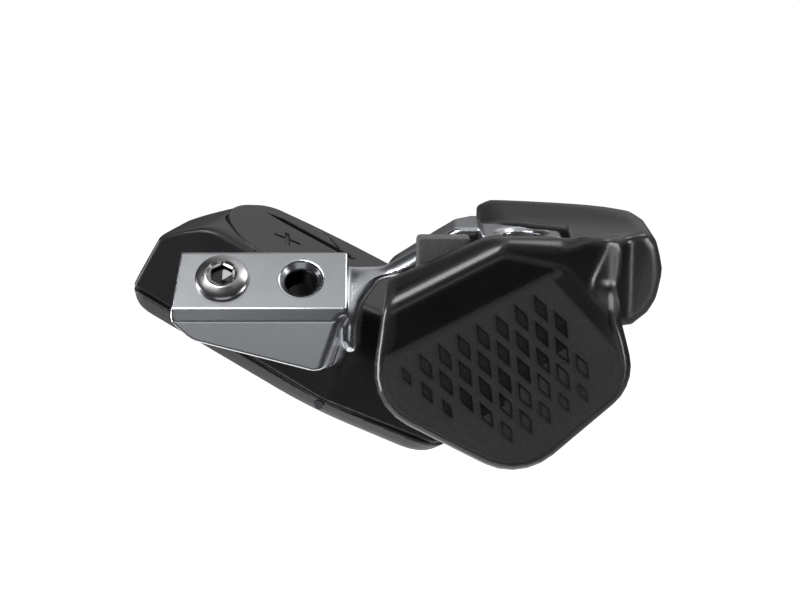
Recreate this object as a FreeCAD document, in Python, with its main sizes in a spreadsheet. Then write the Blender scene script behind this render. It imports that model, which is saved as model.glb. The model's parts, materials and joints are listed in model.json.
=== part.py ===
"""Electronic shift switch for a handlebar: clamp bracket, battery pod and thumb rocker.

Frame: origin at the centre of the free clamp hole, on the bracket's tilted face. X runs
along the two clamp holes, Z along the rocker's pivot, and Y away from the rider.
Lengths are millimetres and angles degrees.
"""
import FreeCAD, Part
import os

import Sketcher
from FreeCAD import Rotation, Vector

SHEET = "Sizes"

# Driving dimensions of each sub-part
SIZES = {
    # Clamp bracket: tilted plate with a skirt along its front edge
    "face_tilt": 43.0,
    "plate_front": 6.5,
    "plate_rear": 6.0,
    "plate_thickness": 6.0,
    "plate_left": 24.0,
    "plate_right": 8.7,
    "plate_draft": 1.8,
    "bevel_out": 1.0,
    "bevel_drop": 2.3,
    "skirt_thickness": 3.4,
    "skirt_corner_in": 4.0,
    "skirt_corner_drop": 3.7,
    "skirt_depth": 9.5,
    "skirt_round": 4.0,
    "lug_width": 14.0,
    "lug_length": 20.0,
    "lug_step": 1.2,
    "hole_spacing": 14.6,
    "hole_diameter": 6.0,
    "hole_chamfer": 1.1,
    # Gooseneck arm and pivot boss
    "neck_top": 1.6,
    "neck_rear": 6.5,
    "neck_reach": 15.5,
    "neck_round": 3.5,
    "arm_front": 1.0,
    "arm_rear": 11.0,
    "arm_top": 9.3,
    "arm_root": 5.0,
    "arm_round": 1.6,
    "hump_left": 28.6,
    "hump_right": 33.0,
    "boss_top": 7.8,
    "boss_front": -0.2,
    "boss_end": 7.5,
    "boss_rear": 14.6,
    "boss_step_left": 28.0,
    "boss_step_right": 31.5,
    "boss_slant_left": 36.3,
    "boss_slant": 32.0,
    "pivot_x": 41.1,
    "pivot_y": 5.4,
    # Pivot pin, bushes and retaining clip
    "pin_diameter": 5.0,
    "pin_head_diameter": 7.4,
    "pin_head_height": 0.9,
    "pin_top": 5.2,
    "running_clearance": 0.04,
    "bush_wall": 0.7,
    "bush_flange": 0.4,
    "bush_length": 1.8,
    "counterbore_diameter": 8.4,
    "counterbore_floor": 3.9,
    "clip_thickness": 0.5,
    "clip_clearance": 0.2,
    "clip_groove": 0.5,
    # Rocker: thumb paddle, neck, finger wing and web under the boss
    "paddle_back": 5.0,
    "paddle_tilt": 8.0,
    "paddle_thickness": 7.3,
    "paddle_left": 16.0,
    "paddle_left_low": 12.4,
    "paddle_low": 40.6,
    "paddle_right": 61.7,
    "paddle_top": 9.1,
    "paddle_brow_left": 34.4,
    "paddle_corner": 1.2,
    "paddle_left_drop": 22.0,
    "paddle_low_drop": 36.1,
    "paddle_right_drop": 18.2,
    "paddle_left_round": 11.0,
    "paddle_low_round": 11.5,
    "paddle_right_round": 9.0,
    "paddle_ear": 3.0,
    "brow_angle": 27.0,
    "brow_rim": 6.4,
    "brow_ridge": 10.6,
    "brow_crease": 18.7,
    "brow_rim_depth": 2.6,
    "brow_depth": 3.9,
    "dish_flat": 10.0,
    "dish_low_depth": 5.4,
    "flank_angle": 47.5,
    "flank_crease": 34.8,
    "flank_depth": 5.2,
    "flank_run": 7.6,
    "flank_end_depth": 1.6,
    "neck_right": 58.7,
    "rocker_gap": 1.2,
    "wing_left": 33.2,
    "wing_right": 68.0,
    "wing_front": 5.8,
    "wing_rear": 24.6,
    "wing_high": 14.0,
    "wing_low": 8.8,
    "roof_x": 38.2,
    "roof_y": 14.8,
    "roof_z": 8.14,
    "roof_roll": 11.3,
    "roof_pitch": 17.9,
    "neck_roof": 8.2,
    "neck_roof_slope": 5.7,
    "tip_x": 35.8,
    "tip_y": 24.0,
    "tip_z": 10.7,
    "tip_roll": 30.0,
    "tip_pitch": 20.4,
    "valley_x": 57.8,
    "valley_y": 7.6,
    "valley_z": -1.0,
    "valley_radius": 4.4,
    "valley_length": 12.0,
    "scoop_x": 56.6,
    "scoop_y": 7.0,
    "scoop_z": -0.2,
    "scoop_turn": 30.0,
    "scoop_radius": 3.6,
    "scoop_length": 10.0,
    "web_thickness": 3.1,
    "web_gap": 0.05,
    "rocker_travel": 4.0,
    "tail_left": 22.0,
    "tail_front": 3.0,
    "tail_rear": 7.8,
    # Switch carrier with one sealed switch on each side of the rocker's tail
    "carrier_left": 21.3,
    "carrier_right": 31.2,
    "carrier_front": 2.6,
    "carrier_top": 8.3,
    "carrier_floor": 4.5,
    "carrier_wall": 1.7,
    "carrier_rear_wall": 4.0,
    "boot_gap": 0.15,
    "boot_diameter": 2.8,
    "boot_height": 1.9,
    "switch_width": 4.0,
    "switch_height": 3.0,
    "switch_depth": 1.2,
    "switch_x": 24.4,
    "carrier_screw_x": 28.4,
    "carrier_screw_z": 2.4,
    "carrier_screw_length": 8.0,
    # Clamp bolt and washer
    "washer_diameter": 10.0,
    "washer_thickness": 0.8,
    "bolt_diameter": 5.8,
    "bolt_head_diameter": 9.4,
    "bolt_head_height": 1.1,
    "bolt_head_edge": 0.35,
    "bolt_crown_diameter": 6.0,
    "bolt_length": 9.0,
    "bolt_socket": 4.0,
    "bolt_socket_depth": 1.7,
    "bolt_clearance": 0.1,
    # Battery pod: its own frame lies at the door centre, on the top face
    "pod_x": -3.6,
    "pod_y": 24.0,
    "pod_z": 2.7,
    "pod_roll": 26.0,
    "pod_pitch": 10.5,
    "pod_height": 18.4,
    "pod_shoulder": 8.5,
    "pod_left": 23.2,
    "pod_right": 46.0,
    "pod_front": 20.8,
    "pod_rear": 16.0,
    "pod_top_left": 16.6,
    "pod_top_right": 40.0,
    "pod_top_front": 14.4,
    "pod_top_rear": 14.6,
    "pod_wall": 2.0,
    "gasket_thickness": 0.6,
    "gasket_inset": 0.4,
    "cover_depth": 4.0,
    "cover_inset": 2.6,
    "pod_edge_round": 1.0,
    # Battery door, cell and contacts
    "door_diameter": 25.0,
    "door_thickness": 2.4,
    "door_clearance": 0.15,
    "groove_start": -5.8,
    "groove_end": 14.0,
    "groove_offset": 8.0,
    "groove_skew": 2.2,
    "groove_width": 1.7,
    "groove_depth": 1.0,
    "seal_thickness": 0.8,
    "seal_clearance": 0.02,
    "seal_width": 2.05,
    "cell_diameter": 20.0,
    "cell_thickness": 3.2,
    "cell_clearance": 0.3,
    "cell_step": 1.4,
    "contact_thickness": 0.3,
    "contact_width": 5.0,
    "cup_wall": 1.0,
    # Circuit board, function button and fasteners
    "board_thickness": 1.2,
    "board_level": 12.6,
    "board_clearance": 0.6,
    "post_width": 3.0,
    "button_l": 19.0,
    "button_w": 6.0,
    "button_diameter": 5.0,
    "button_clearance": 0.06,
    "button_proud": 0.5,
    "button_travel": 0.5,
    "button_flange": 1.0,
    "button_flange_thickness": 0.8,
    "tact_size": 4.5,
    "tact_height": 1.6,
    "lens_l": 18.6,
    "lens_drop": 1.2,
    "lens_sunk": 0.9,
    "lens_diameter": 1.6,
    "screw_diameter": 2.5,
    "screw_head_diameter": 4.4,
    "screw_head_height": 1.8,
    "screw_boss_wall": 1.2,
    "screw_clearance": 0.1,
    "cover_screw_grip": 6.0,
    "pad_reach": 19.5,
    "pad_left": 7.5,
    "pad_right": 18.6,
    "pad_top": 4.8,
    "pad_low": 12.3,
    "mount_screw_left": 10.6,
    "mount_screw_left_drop": 9.8,
    "mount_screw_right": 16.0,
    "mount_screw_right_drop": 7.5,
    "mount_screw_sunk": 0.8,
    "mount_screw_grip": 6.0,
}


class Size:
    """A number that also carries the sheet expression it was worked out from."""

    def __init__(self, value, text):
        self.value = float(value)
        self.text = text

    def __add__(self, other):
        other = as_size(other)
        return Size(self.value + other.value, f"({self.text} + {other.text})")

    def __sub__(self, other):
        other = as_size(other)
        return Size(self.value - other.value, f"({self.text} - {other.text})")

    def __mul__(self, other):
        other = as_size(other)
        return Size(self.value * other.value, f"({self.text} * {other.text})")

    def __truediv__(self, other):
        other = as_size(other)
        return Size(self.value / other.value, f"({self.text} / {other.text})")

    def __radd__(self, other):
        return as_size(other) + self

    def __rsub__(self, other):
        return as_size(other) - self

    def __rmul__(self, other):
        return as_size(other) * self

    def __neg__(self):
        return Size(-self.value, f"(-{self.text})")


def as_size(number):
    """Wrap a plain number so that it can be joined with sheet values."""
    return number if isinstance(number, Size) else Size(number, f"({number})")


def sine(angle):
    """Sine of an angle in degrees, as value and expression."""
    turned = Rotation(Vector(0, 0, 1), angle.value).multVec(Vector(1, 0, 0))
    return Size(turned.y, f"sin({angle.text})")


def cosine(angle):
    """Cosine of an angle in degrees, as value and expression."""
    turned = Rotation(Vector(0, 0, 1), angle.value).multVec(Vector(1, 0, 0))
    return Size(turned.x, f"cos({angle.text})")


class SizeSheet:
    """The document's spreadsheet: each driving dimension is one aliased cell."""

    def __init__(self, doc, sizes):
        self.sheet = doc.addObject("Spreadsheet::Sheet", SHEET)
        for row, (alias, number) in enumerate(sizes.items(), start=1):
            self.sheet.set(f"A{row}", alias)
            self.sheet.set(f"B{row}", str(number))
            self.sheet.setAlias(f"B{row}", alias)
        doc.recompute()

    def __getattr__(self, alias):
        return Size(self.sheet.get(alias), f"{SHEET}.{alias}")


DOC = FreeCAD.newDocument("shift_switch")
S = SizeSheet(DOC, SIZES)
NODES = []


def bind(target, path, size):
    """Tie one property of a document object to the sheet."""
    target.setExpression(path, as_size(size).text)


def new_body(label, placement=None, node=True):
    """Start a body; a node is written to a file of its own at the end."""
    body = DOC.addObject("PartDesign::Body", label)
    body.Label = label
    if placement:
        body.setExpression("Placement", placement)
    if node:
        NODES.append(body)
    return body


def origin_plane(body, plane):
    """One of the body's own base planes, by name: XY, XZ or YZ."""
    return next(part for part in body.Origin.OriginFeatures if part.Role == f"{plane}_Plane")


def new_sketch(body, plane, level, tilt=None):
    """Sketch on a base plane, moved along its normal and turned about its first axis."""
    sketch = body.newObject("Sketcher::SketchObject", f"{body.Name}_sketch")
    sketch.AttachmentSupport = (origin_plane(body, plane), [""])
    sketch.MapMode = "FlatFace"
    level = as_size(level)
    if tilt is None:
        bind(sketch, "AttachmentOffset.Base.z", level)
        return sketch
    sketch.setExpression("AttachmentOffset", (
        f"placement(vector(0; -{level.text} * sin({tilt.text}); {level.text} * cos({tilt.text})); "
        f"rotation(vector(1; 0; 0); {tilt.text}))"))
    return sketch


def fix_point(sketch, geometry, end, point):
    """Hold one end or centre of a sketch element at a bound position."""
    for kind, size in zip(("DistanceX", "DistanceY"), point):
        size = as_size(size)
        index = sketch.addConstraint(Sketcher.Constraint(kind, -1, 1, geometry, end, size.value))
        bind(sketch, f"Constraints[{index}]", size)


def draw_polygon(sketch, points):
    """Closed outline of straight lines through bound points."""
    spots = [Vector(as_size(x).value, as_size(y).value, 0) for x, y in points]
    first = sketch.GeometryCount
    count = len(spots)
    for index, spot in enumerate(spots):
        sketch.addGeometry(Part.LineSegment(spot, spots[(index + 1) % count]))
    for index in range(count):
        following = first + (index + 1) % count
        sketch.addConstraint(Sketcher.Constraint("Coincident", first + index, 2, following, 1))
    for index, point in enumerate(points):
        fix_point(sketch, first + index, 1, point)


def draw_circle(sketch, centre, radius):
    """Circle about a bound centre."""
    middle = Vector(as_size(centre[0]).value, as_size(centre[1]).value, 0)
    index = sketch.addGeometry(Part.Circle(middle, Vector(0, 0, 1), as_size(radius).value))
    rule = sketch.addConstraint(Sketcher.Constraint("Radius", index, as_size(radius).value))
    bind(sketch, f"Constraints[{rule}]", radius)
    fix_point(sketch, index, 3, centre)


def sweep_sketch(body, sketch, length, cut):
    """Pad or pocket a finished sketch by a bound length."""
    kind = "Pocket" if cut else "Pad"
    feature = body.newObject(f"PartDesign::{kind}", f"{body.Name}_{kind.lower()}")
    feature.Profile = sketch
    bind(feature, "Length", length)
    DOC.recompute()
    return feature


def base_level(plane, low, high, cut):
    """Sketch level from which a pad or pocket fills low to high along the plane's axis."""
    if plane == "XZ":
        return -as_size(low) if cut else -as_size(high)
    return high if cut else low


def prism(body, plane, points, low, high, cut=False, tilt=None):
    """Polygon swept between two levels of the axis square to its plane."""
    sketch = new_sketch(body, plane, base_level(plane, low, high, cut), tilt)
    draw_polygon(sketch, points)
    return sweep_sketch(body, sketch, as_size(high) - low, cut)


def rods(body, plane, centres, radius, low, high, cut=False, tilt=None):
    """Round bars, or holes, of one radius at bound centres."""
    sketch = new_sketch(body, plane, base_level(plane, low, high, cut), tilt)
    for centre in centres:
        draw_circle(sketch, centre, radius)
    return sweep_sketch(body, sketch, as_size(high) - low, cut)


def towers(body, centres, width, low, high, cut=False):
    """Square posts, or holes, of one width at bound centres."""
    for x, y in centres:
        prism(body, "XY", box_points(x, y, width, width), low, high, cut)


def tubes(body, plane, centres, outer, inner, low, high, tilt=None):
    """Round tubes of one section at bound centres."""
    sketch = new_sketch(body, plane, base_level(plane, low, high, False), tilt)
    for centre in centres:
        draw_circle(sketch, centre, outer)
        draw_circle(sketch, centre, inner)
    return sweep_sketch(body, sketch, as_size(high) - low, False)


def turned(body, profile):
    """Solid turned about the body's Z axis, from a half profile of radius and height."""
    sketch = new_sketch(body, "XZ", 0)
    draw_polygon(sketch, profile)
    feature = body.newObject("PartDesign::Revolution", f"{body.Name}_turned")
    feature.Profile = sketch
    feature.ReferenceAxis = (sketch, ["V_Axis"])
    DOC.recompute()
    return feature


def loft(body, *outlines):
    """Ruled solid through outlines with as many corners, each given with its level."""
    sections = []
    for points, level in outlines:
        sketch = new_sketch(body, "XY", level)
        draw_polygon(sketch, points)
        sections.append(sketch)
    feature = body.newObject("PartDesign::AdditiveLoft", f"{body.Name}_loft")
    feature.Profile = sections[0]
    feature.Sections = sections[1:]
    feature.Ruled = True
    DOC.recompute()
    return feature


def edges_where(feature, test):
    """Names of a feature's edges whose middle point and direction pass a test."""
    names = []
    for index, edge in enumerate(feature.Shape.Edges, start=1):
        first, last = edge.ParameterRange
        middle = edge.valueAt((first + last) / 2)
        if test(middle, edge.tangentAt((first + last) / 2)):
            names.append(f"Edge{index}")
    return names


def dress(body, kind, feature, test, size):
    """Fillet or chamfer the edges of the last feature that pass a test."""
    result = body.newObject(f"PartDesign::{kind}", f"{body.Name}_{kind.lower()}")
    result.Base = (feature, edges_where(feature, test))
    bind(result, "Radius" if kind == "Fillet" else "Size", size)
    DOC.recompute()
    return result


def near(one, other, room=0.05):
    """Whether two lengths agree within the room."""
    return abs(as_size(one).value - as_size(other).value) < room


def close_to(spot, x=None, y=None, z=None, room=0.05):
    """Whether a point lies on the given coordinates."""
    wanted = ((spot.x, x), (spot.y, y), (spot.z, z))
    return all(near(got, want, room) for got, want in wanted if want is not None)


def between(one, other):
    """Two levels in rising order."""
    one, other = as_size(one), as_size(other)
    return (one, other) if one.value < other.value else (other, one)


def box_points(x, y, width, depth):
    """Corners of a rectangle about a centre."""
    return [(x - width / 2, y - depth / 2), (x + width / 2, y - depth / 2),
            (x + width / 2, y + depth / 2), (x - width / 2, y + depth / 2)]


def boolean(kind, label, base, tool, node=True):
    """Cut or fuse two shapes into one named solid."""
    result = DOC.addObject(f"Part::{kind}", label)
    result.Base = base
    result.Tool = tool
    result.Label = label
    DOC.recompute()
    if node:
        NODES.append(result)
    return result


def spread(corners, x_range, y_range):
    """Outline from corners given as shares of a width and a depth."""
    (x_low, x_high), (y_low, y_high) = x_range, y_range
    return [(x_low + (x_high - x_low) * x, y_low + (y_high - y_low) * y) for x, y in corners]


def frame_at(x, y, z, *turns):
    """Placement expression from a position and turns about the X or Y axis, outermost first."""
    axes = {"X": "vector(1; 0; 0)", "Y": "vector(0; 1; 0)"}
    spins = " * ".join(f"rotation({axes[axis]}; {as_size(angle).text})" for axis, angle in turns)
    spot = "; ".join(as_size(value).text for value in (x, y, z))
    return f"placement(vector({spot}); {spins})"


# Shared places
CENTRE = (0, 0)
HEX_TURN = 60
POD_FRAME = frame_at(S.pod_x, S.pod_y, S.pod_z, ("Y", S.pod_roll), ("X", S.pod_pitch))
PIVOT = (S.pivot_x, S.pivot_y)
FACE_RUN = cosine(S.face_tilt)
FACE_RISE = sine(S.face_tilt)
SKIRT_Y = -S.plate_front * FACE_RUN - S.bevel_out
SKIRT_TOP = -S.plate_front * FACE_RISE - S.bevel_drop
SKIRT_LOW = SKIRT_TOP - S.skirt_depth
REAR_Y = S.plate_rear * FACE_RUN + S.plate_thickness * FACE_RISE
REAR_Z = S.plate_rear * FACE_RISE - S.plate_thickness * FACE_RUN
SKIRT_INNER = SKIRT_Y + S.skirt_thickness
UNDER_Z = REAR_Z - (REAR_Y - SKIRT_INNER) * FACE_RISE / FACE_RUN
BOSS_RIGHT = S.pivot_x + S.boss_end
BOSS_FALL = sine(S.boss_slant) / cosine(S.boss_slant)
TAIL_LEVEL = -S.bush_flange - S.web_gap
WEB_LOW = TAIL_LEVEL - S.web_thickness
OUTSIDE = S.wing_right
SEAM = -S.pod_height - S.gasket_thickness
COVER_LOW = SEAM - S.cover_depth
INNER_FRONT = -S.pod_top_front + S.pod_wall
DOOR_BORE = S.door_diameter / 2 + S.door_clearance
LEDGE = -S.door_thickness - S.seal_thickness - S.seal_clearance
CELL_TOP = LEDGE - S.cell_clearance
CELL_LOW = CELL_TOP - S.cell_thickness
CUP_FLOOR = CELL_LOW - S.contact_thickness
BOARD_LOW = -S.board_level - S.board_thickness
TOWER_WIDTH = S.screw_diameter + 2 * S.screw_boss_wall
BUTTON = (S.button_l, -S.button_w)

# Outlines as shares of their width and depth, for the pod's seam, shoulder and top and the finger wing
SEAM_CORNERS = ((0, 0.283), (0.601, 0), (0.942, 0.087), (1, 0.245), (1, 0.728), (0.913, 0.918), (0.468, 1),
                (0.173, 0.973), (0.043, 0.783), (0, 0.511))
SHOULDER_CORNERS = ((0, 0.283), (0.601, 0.06), (0.92, 0.136), (0.983, 0.283), (0.983, 0.725), (0.893, 0.902),
                    (0.464, 0.992), (0.189, 0.959), (0.065, 0.78), (0.029, 0.514))
TOP_CORNERS = ((0.08, 0.121), (0.576, 0), (0.929, 0.138), (1, 0.276), (1, 0.69), (0.894, 0.862), (0.435, 1),
               (0.177, 0.948), (0.044, 0.759), (0, 0.448))
WING_PLAN = ((0.724, 0), (0.805, 0.171), (0.96, 0.25), (1, 0.375), (0.96, 0.493), (0.828, 0.586),
             (0.598, 0.724), (0.08, 1), (0, 1))
WING_VIEW = ((0.641, 0), (0.81, 0), (0.897, 0.092), (0.948, 0.202), (0.991, 0.355), (1, 0.43), (0.948, 0.658),
             (0.885, 0.798), (0.813, 0.868), (0.684, 0.904), (0, 1))


def arm_profile():
    """Front view of the gooseneck: neck, hump and boss above, curved gusset below."""
    root = S.plate_right - 1
    return [(root, S.neck_top), (S.neck_reach, S.neck_top), (S.hump_left, S.arm_top),
            (S.hump_right, S.arm_top), (S.hump_right + 1, S.boss_top), (BOSS_RIGHT, S.boss_top),
            (BOSS_RIGHT, 0), (S.neck_reach + S.arm_root, 0), (S.neck_reach + 1, SKIRT_TOP / 4),
            (S.plate_right + 3, SKIRT_TOP - 3.5), (S.plate_right + 0.7, SKIRT_LOW + 1.4),
            (root, SKIRT_LOW + 0.4)]


def boss_edge(x, gap=0):
    """Rear level of the boss's slanted edge at a length, moved out square to itself by a gap."""
    return S.boss_rear - (x - S.boss_slant_left) * BOSS_FALL + as_size(gap) / cosine(S.boss_slant)


def make_clamp_bracket():
    """One machined bracket: arm and boss first, then plate, skirt, lug and holes."""
    body = new_body("bracket_blank", node=False)
    prism(body, "XZ", arm_profile(), SKIRT_Y, S.boss_rear)
    front = [(S.plate_right, SKIRT_Y - 1), (S.plate_right, SKIRT_Y),
             (S.plate_right + 1.6, SKIRT_Y + 3.4), (S.neck_reach - 0.5, S.arm_front),
             (S.hump_right, S.arm_front), (S.hump_right + 2.5, S.boss_front),
             (OUTSIDE, S.boss_front), (OUTSIDE, SKIRT_Y - 1)]
    prism(body, "XY", front, SKIRT_LOW, S.arm_top + 1, cut=True)
    behind = [(S.plate_right - 2, S.neck_rear), (S.neck_reach, S.neck_rear), (S.neck_reach, S.arm_rear),
              (S.boss_step_left, S.arm_rear), (S.boss_step_right, S.boss_rear),
              (S.boss_step_right, S.boss_rear + 1), (S.plate_right - 2, S.boss_rear + 1)]
    prism(body, "XY", behind, SKIRT_LOW, S.arm_top + 1, cut=True)
    corner = [(S.boss_slant_left, S.boss_rear), (OUTSIDE, boss_edge(OUTSIDE)), (OUTSIDE, S.boss_rear + 1),
              (S.boss_slant_left, S.boss_rear + 1)]
    feature = prism(body, "XY", corner, -1, S.arm_top, cut=True)
    feature = dress(body, "Fillet", feature,
                    lambda spot, way: near(abs(way.z), 1) and spot.x < S.neck_reach.value + 0.2
                    and spot.x > S.plate_right.value + 0.5 and spot.y < S.arm_front.value + 0.2,
                    S.neck_round)
    feature = dress(body, "Fillet", feature,
                    lambda spot, way: close_to(spot, x=S.neck_reach, y=S.arm_rear)
                    or close_to(spot, x=BOSS_RIGHT, y=S.boss_front), S.arm_round)
    feature = dress(body, "Fillet", feature,
                    lambda spot, way: near(abs(way.y), 1)
                    and close_to(spot, x=S.hump_left, z=S.arm_top), S.arm_round)
    section = [(-S.plate_front * FACE_RUN, -S.plate_front * FACE_RISE),
               (S.plate_rear * FACE_RUN, S.plate_rear * FACE_RISE), (REAR_Y, REAR_Z),
               (SKIRT_INNER, UNDER_Z), (SKIRT_INNER, SKIRT_LOW), (SKIRT_Y, SKIRT_LOW),
               (SKIRT_Y, SKIRT_TOP)]
    prism(body, "YZ", section, -S.plate_left, S.plate_right)
    lug_z = UNDER_Z + S.lug_step * FACE_RISE / FACE_RUN
    lug = [(SKIRT_INNER, UNDER_Z), (SKIRT_INNER + S.lug_step, lug_z), (S.lug_length, lug_z),
           (S.lug_length, SKIRT_LOW), (SKIRT_INNER, SKIRT_LOW)]
    prism(body, "YZ", lug, S.plate_right - S.lug_width, S.plate_right)
    left = -S.plate_left
    draft = [(left, SKIRT_Y), (left + S.plate_draft, REAR_Y), (left - 1, REAR_Y), (left - 1, SKIRT_Y)]
    prism(body, "XY", draft, SKIRT_LOW, REAR_Y, cut=True)
    low_left = SKIRT_TOP - S.skirt_corner_drop
    below = [(left - 1, SKIRT_TOP), (left, SKIRT_TOP), (left + S.skirt_corner_in, low_left),
             (S.plate_right / 4, SKIRT_LOW), (S.plate_right / 4, SKIRT_LOW - 1), (left - 1, SKIRT_LOW - 1)]
    feature = prism(body, "XZ", below, SKIRT_Y - 1, S.lug_length + 1, cut=True)
    feature = dress(body, "Fillet", feature,
                    lambda spot, way: near(abs(way.y), 1)
                    and (close_to(spot, x=left + S.skirt_corner_in, z=low_left)
                         or close_to(spot, x=left, z=SKIRT_TOP)), S.skirt_round)
    feature = rods(body, "XY", [(0, 0), (-S.hole_spacing, 0)], S.hole_diameter / 2,
                   -S.plate_thickness * 1.4, 1, cut=True, tilt=S.face_tilt)
    feature = dress(body, "Chamfer", feature,
                    lambda spot, way: near(spot.y * FACE_RISE.value, spot.z * FACE_RUN.value)
                    and near(abs(spot.x), S.hole_diameter / 2), S.hole_chamfer)
    rods(body, "XY", [PIVOT], S.counterbore_diameter / 2, S.counterbore_floor, S.arm_top, cut=True)
    rods(body, "XY", [PIVOT], S.pin_diameter / 2 + S.running_clearance + S.bush_wall,
         -1, S.arm_top, cut=True)
    rods(body, "XZ", [(S.carrier_screw_x, S.carrier_screw_z)], S.screw_diameter / 2,
         S.arm_front - 1, S.arm_front + S.carrier_screw_length, cut=True)
    trim = new_body("pod_side_trim", POD_FRAME, node=False)
    prism(trim, "XY", [(-S.pod_right, -S.pad_reach), (S.pod_right, -S.pad_reach),
                       (S.pod_right, S.pod_rear), (-S.pod_right, S.pod_rear)],
          -S.pod_height * 2, 0)
    rods(trim, "XZ", mount_screw_spots(), S.screw_diameter / 2,
         -S.pad_reach - S.mount_screw_grip, -S.pad_reach + 1)
    boolean("Cut", "clamp_bracket", body, trim)


def mount_screw_spots():
    """Centres of the two screws that hold the pod's pad on the bracket's lug, as length and height."""
    return [(S.mount_screw_left, -S.mount_screw_left_drop),
            (S.mount_screw_right, -S.mount_screw_right_drop)]


def make_clamp_fasteners():
    """Low-headed bolt and plain washer in the bracket's left hole, square to its face."""
    frame = frame_at(-S.hole_spacing, 0, 0, ("X", S.face_tilt))
    washer = new_body("clamp_washer", frame)
    tubes(washer, "XY", [CENTRE], S.washer_diameter / 2, S.bolt_diameter / 2 + S.bolt_clearance,
          0, S.washer_thickness)
    bolt = new_body("clamp_bolt", frame)
    seat = S.washer_thickness
    top = seat + S.bolt_head_height
    shank, head = S.bolt_diameter / 2, S.bolt_head_diameter / 2
    turned(bolt, [(0, seat - S.bolt_length), (shank, seat - S.bolt_length), (shank, seat), (head, seat),
                  (head, seat + S.bolt_head_edge), (S.bolt_crown_diameter / 2, top), (0, top)])
    corner = S.bolt_socket / 2 / cosine(as_size(HEX_TURN / 2))
    hexagon = [(corner * cosine(as_size(HEX_TURN * side)), corner * sine(as_size(HEX_TURN * side)))
               for side in range(6)]
    prism(bolt, "XY", hexagon, top - S.bolt_socket_depth, top + 1, cut=True)


def make_pivot():
    """Pin fixed in the rocker, two flanged bushes in the boss and a clip under the boss top."""
    pin_radius = S.pin_diameter / 2
    bore = pin_radius + S.running_clearance
    sleeve = bore + S.bush_wall
    flange = S.counterbore_diameter / 2 - S.clip_clearance
    upper = new_body("pivot_bush_upper")
    tubes(upper, "XY", [PIVOT], sleeve, bore, S.counterbore_floor - S.bush_length, S.counterbore_floor)
    tubes(upper, "XY", [PIVOT], flange, bore, S.counterbore_floor, S.counterbore_floor + S.bush_flange)
    lower = new_body("pivot_bush_lower")
    tubes(lower, "XY", [PIVOT], sleeve, bore, 0, S.bush_length)
    tubes(lower, "XY", [PIVOT], flange, bore, -S.bush_flange, 0)
    groove = S.counterbore_floor + S.bush_flange + S.web_gap
    pin = new_body("pivot_pin")
    rods(pin, "XY", [PIVOT], pin_radius, WEB_LOW, S.pin_top)
    rods(pin, "XY", [PIVOT], S.pin_head_diameter / 2, WEB_LOW - S.pin_head_height, WEB_LOW)
    sketch = new_sketch(pin, "XY", groove + S.clip_thickness)
    draw_circle(sketch, PIVOT, pin_radius + 1)
    draw_circle(sketch, PIVOT, pin_radius - S.clip_groove)
    sweep_sketch(pin, sketch, S.clip_thickness, True)
    clip = new_body("pivot_clip")
    tubes(clip, "XY", [PIVOT], flange, pin_radius - S.clip_groove, groove, groove + S.clip_thickness)
    half = S.clip_groove * 2
    mouth = [(S.pivot_x - half, S.pivot_y), (S.pivot_x + half, S.pivot_y),
             (S.pivot_x + half, S.pivot_y + flange + 1), (S.pivot_x - half, S.pivot_y + flange + 1)]
    prism(clip, "XY", mouth, groove, groove + S.clip_thickness, cut=True)


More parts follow.
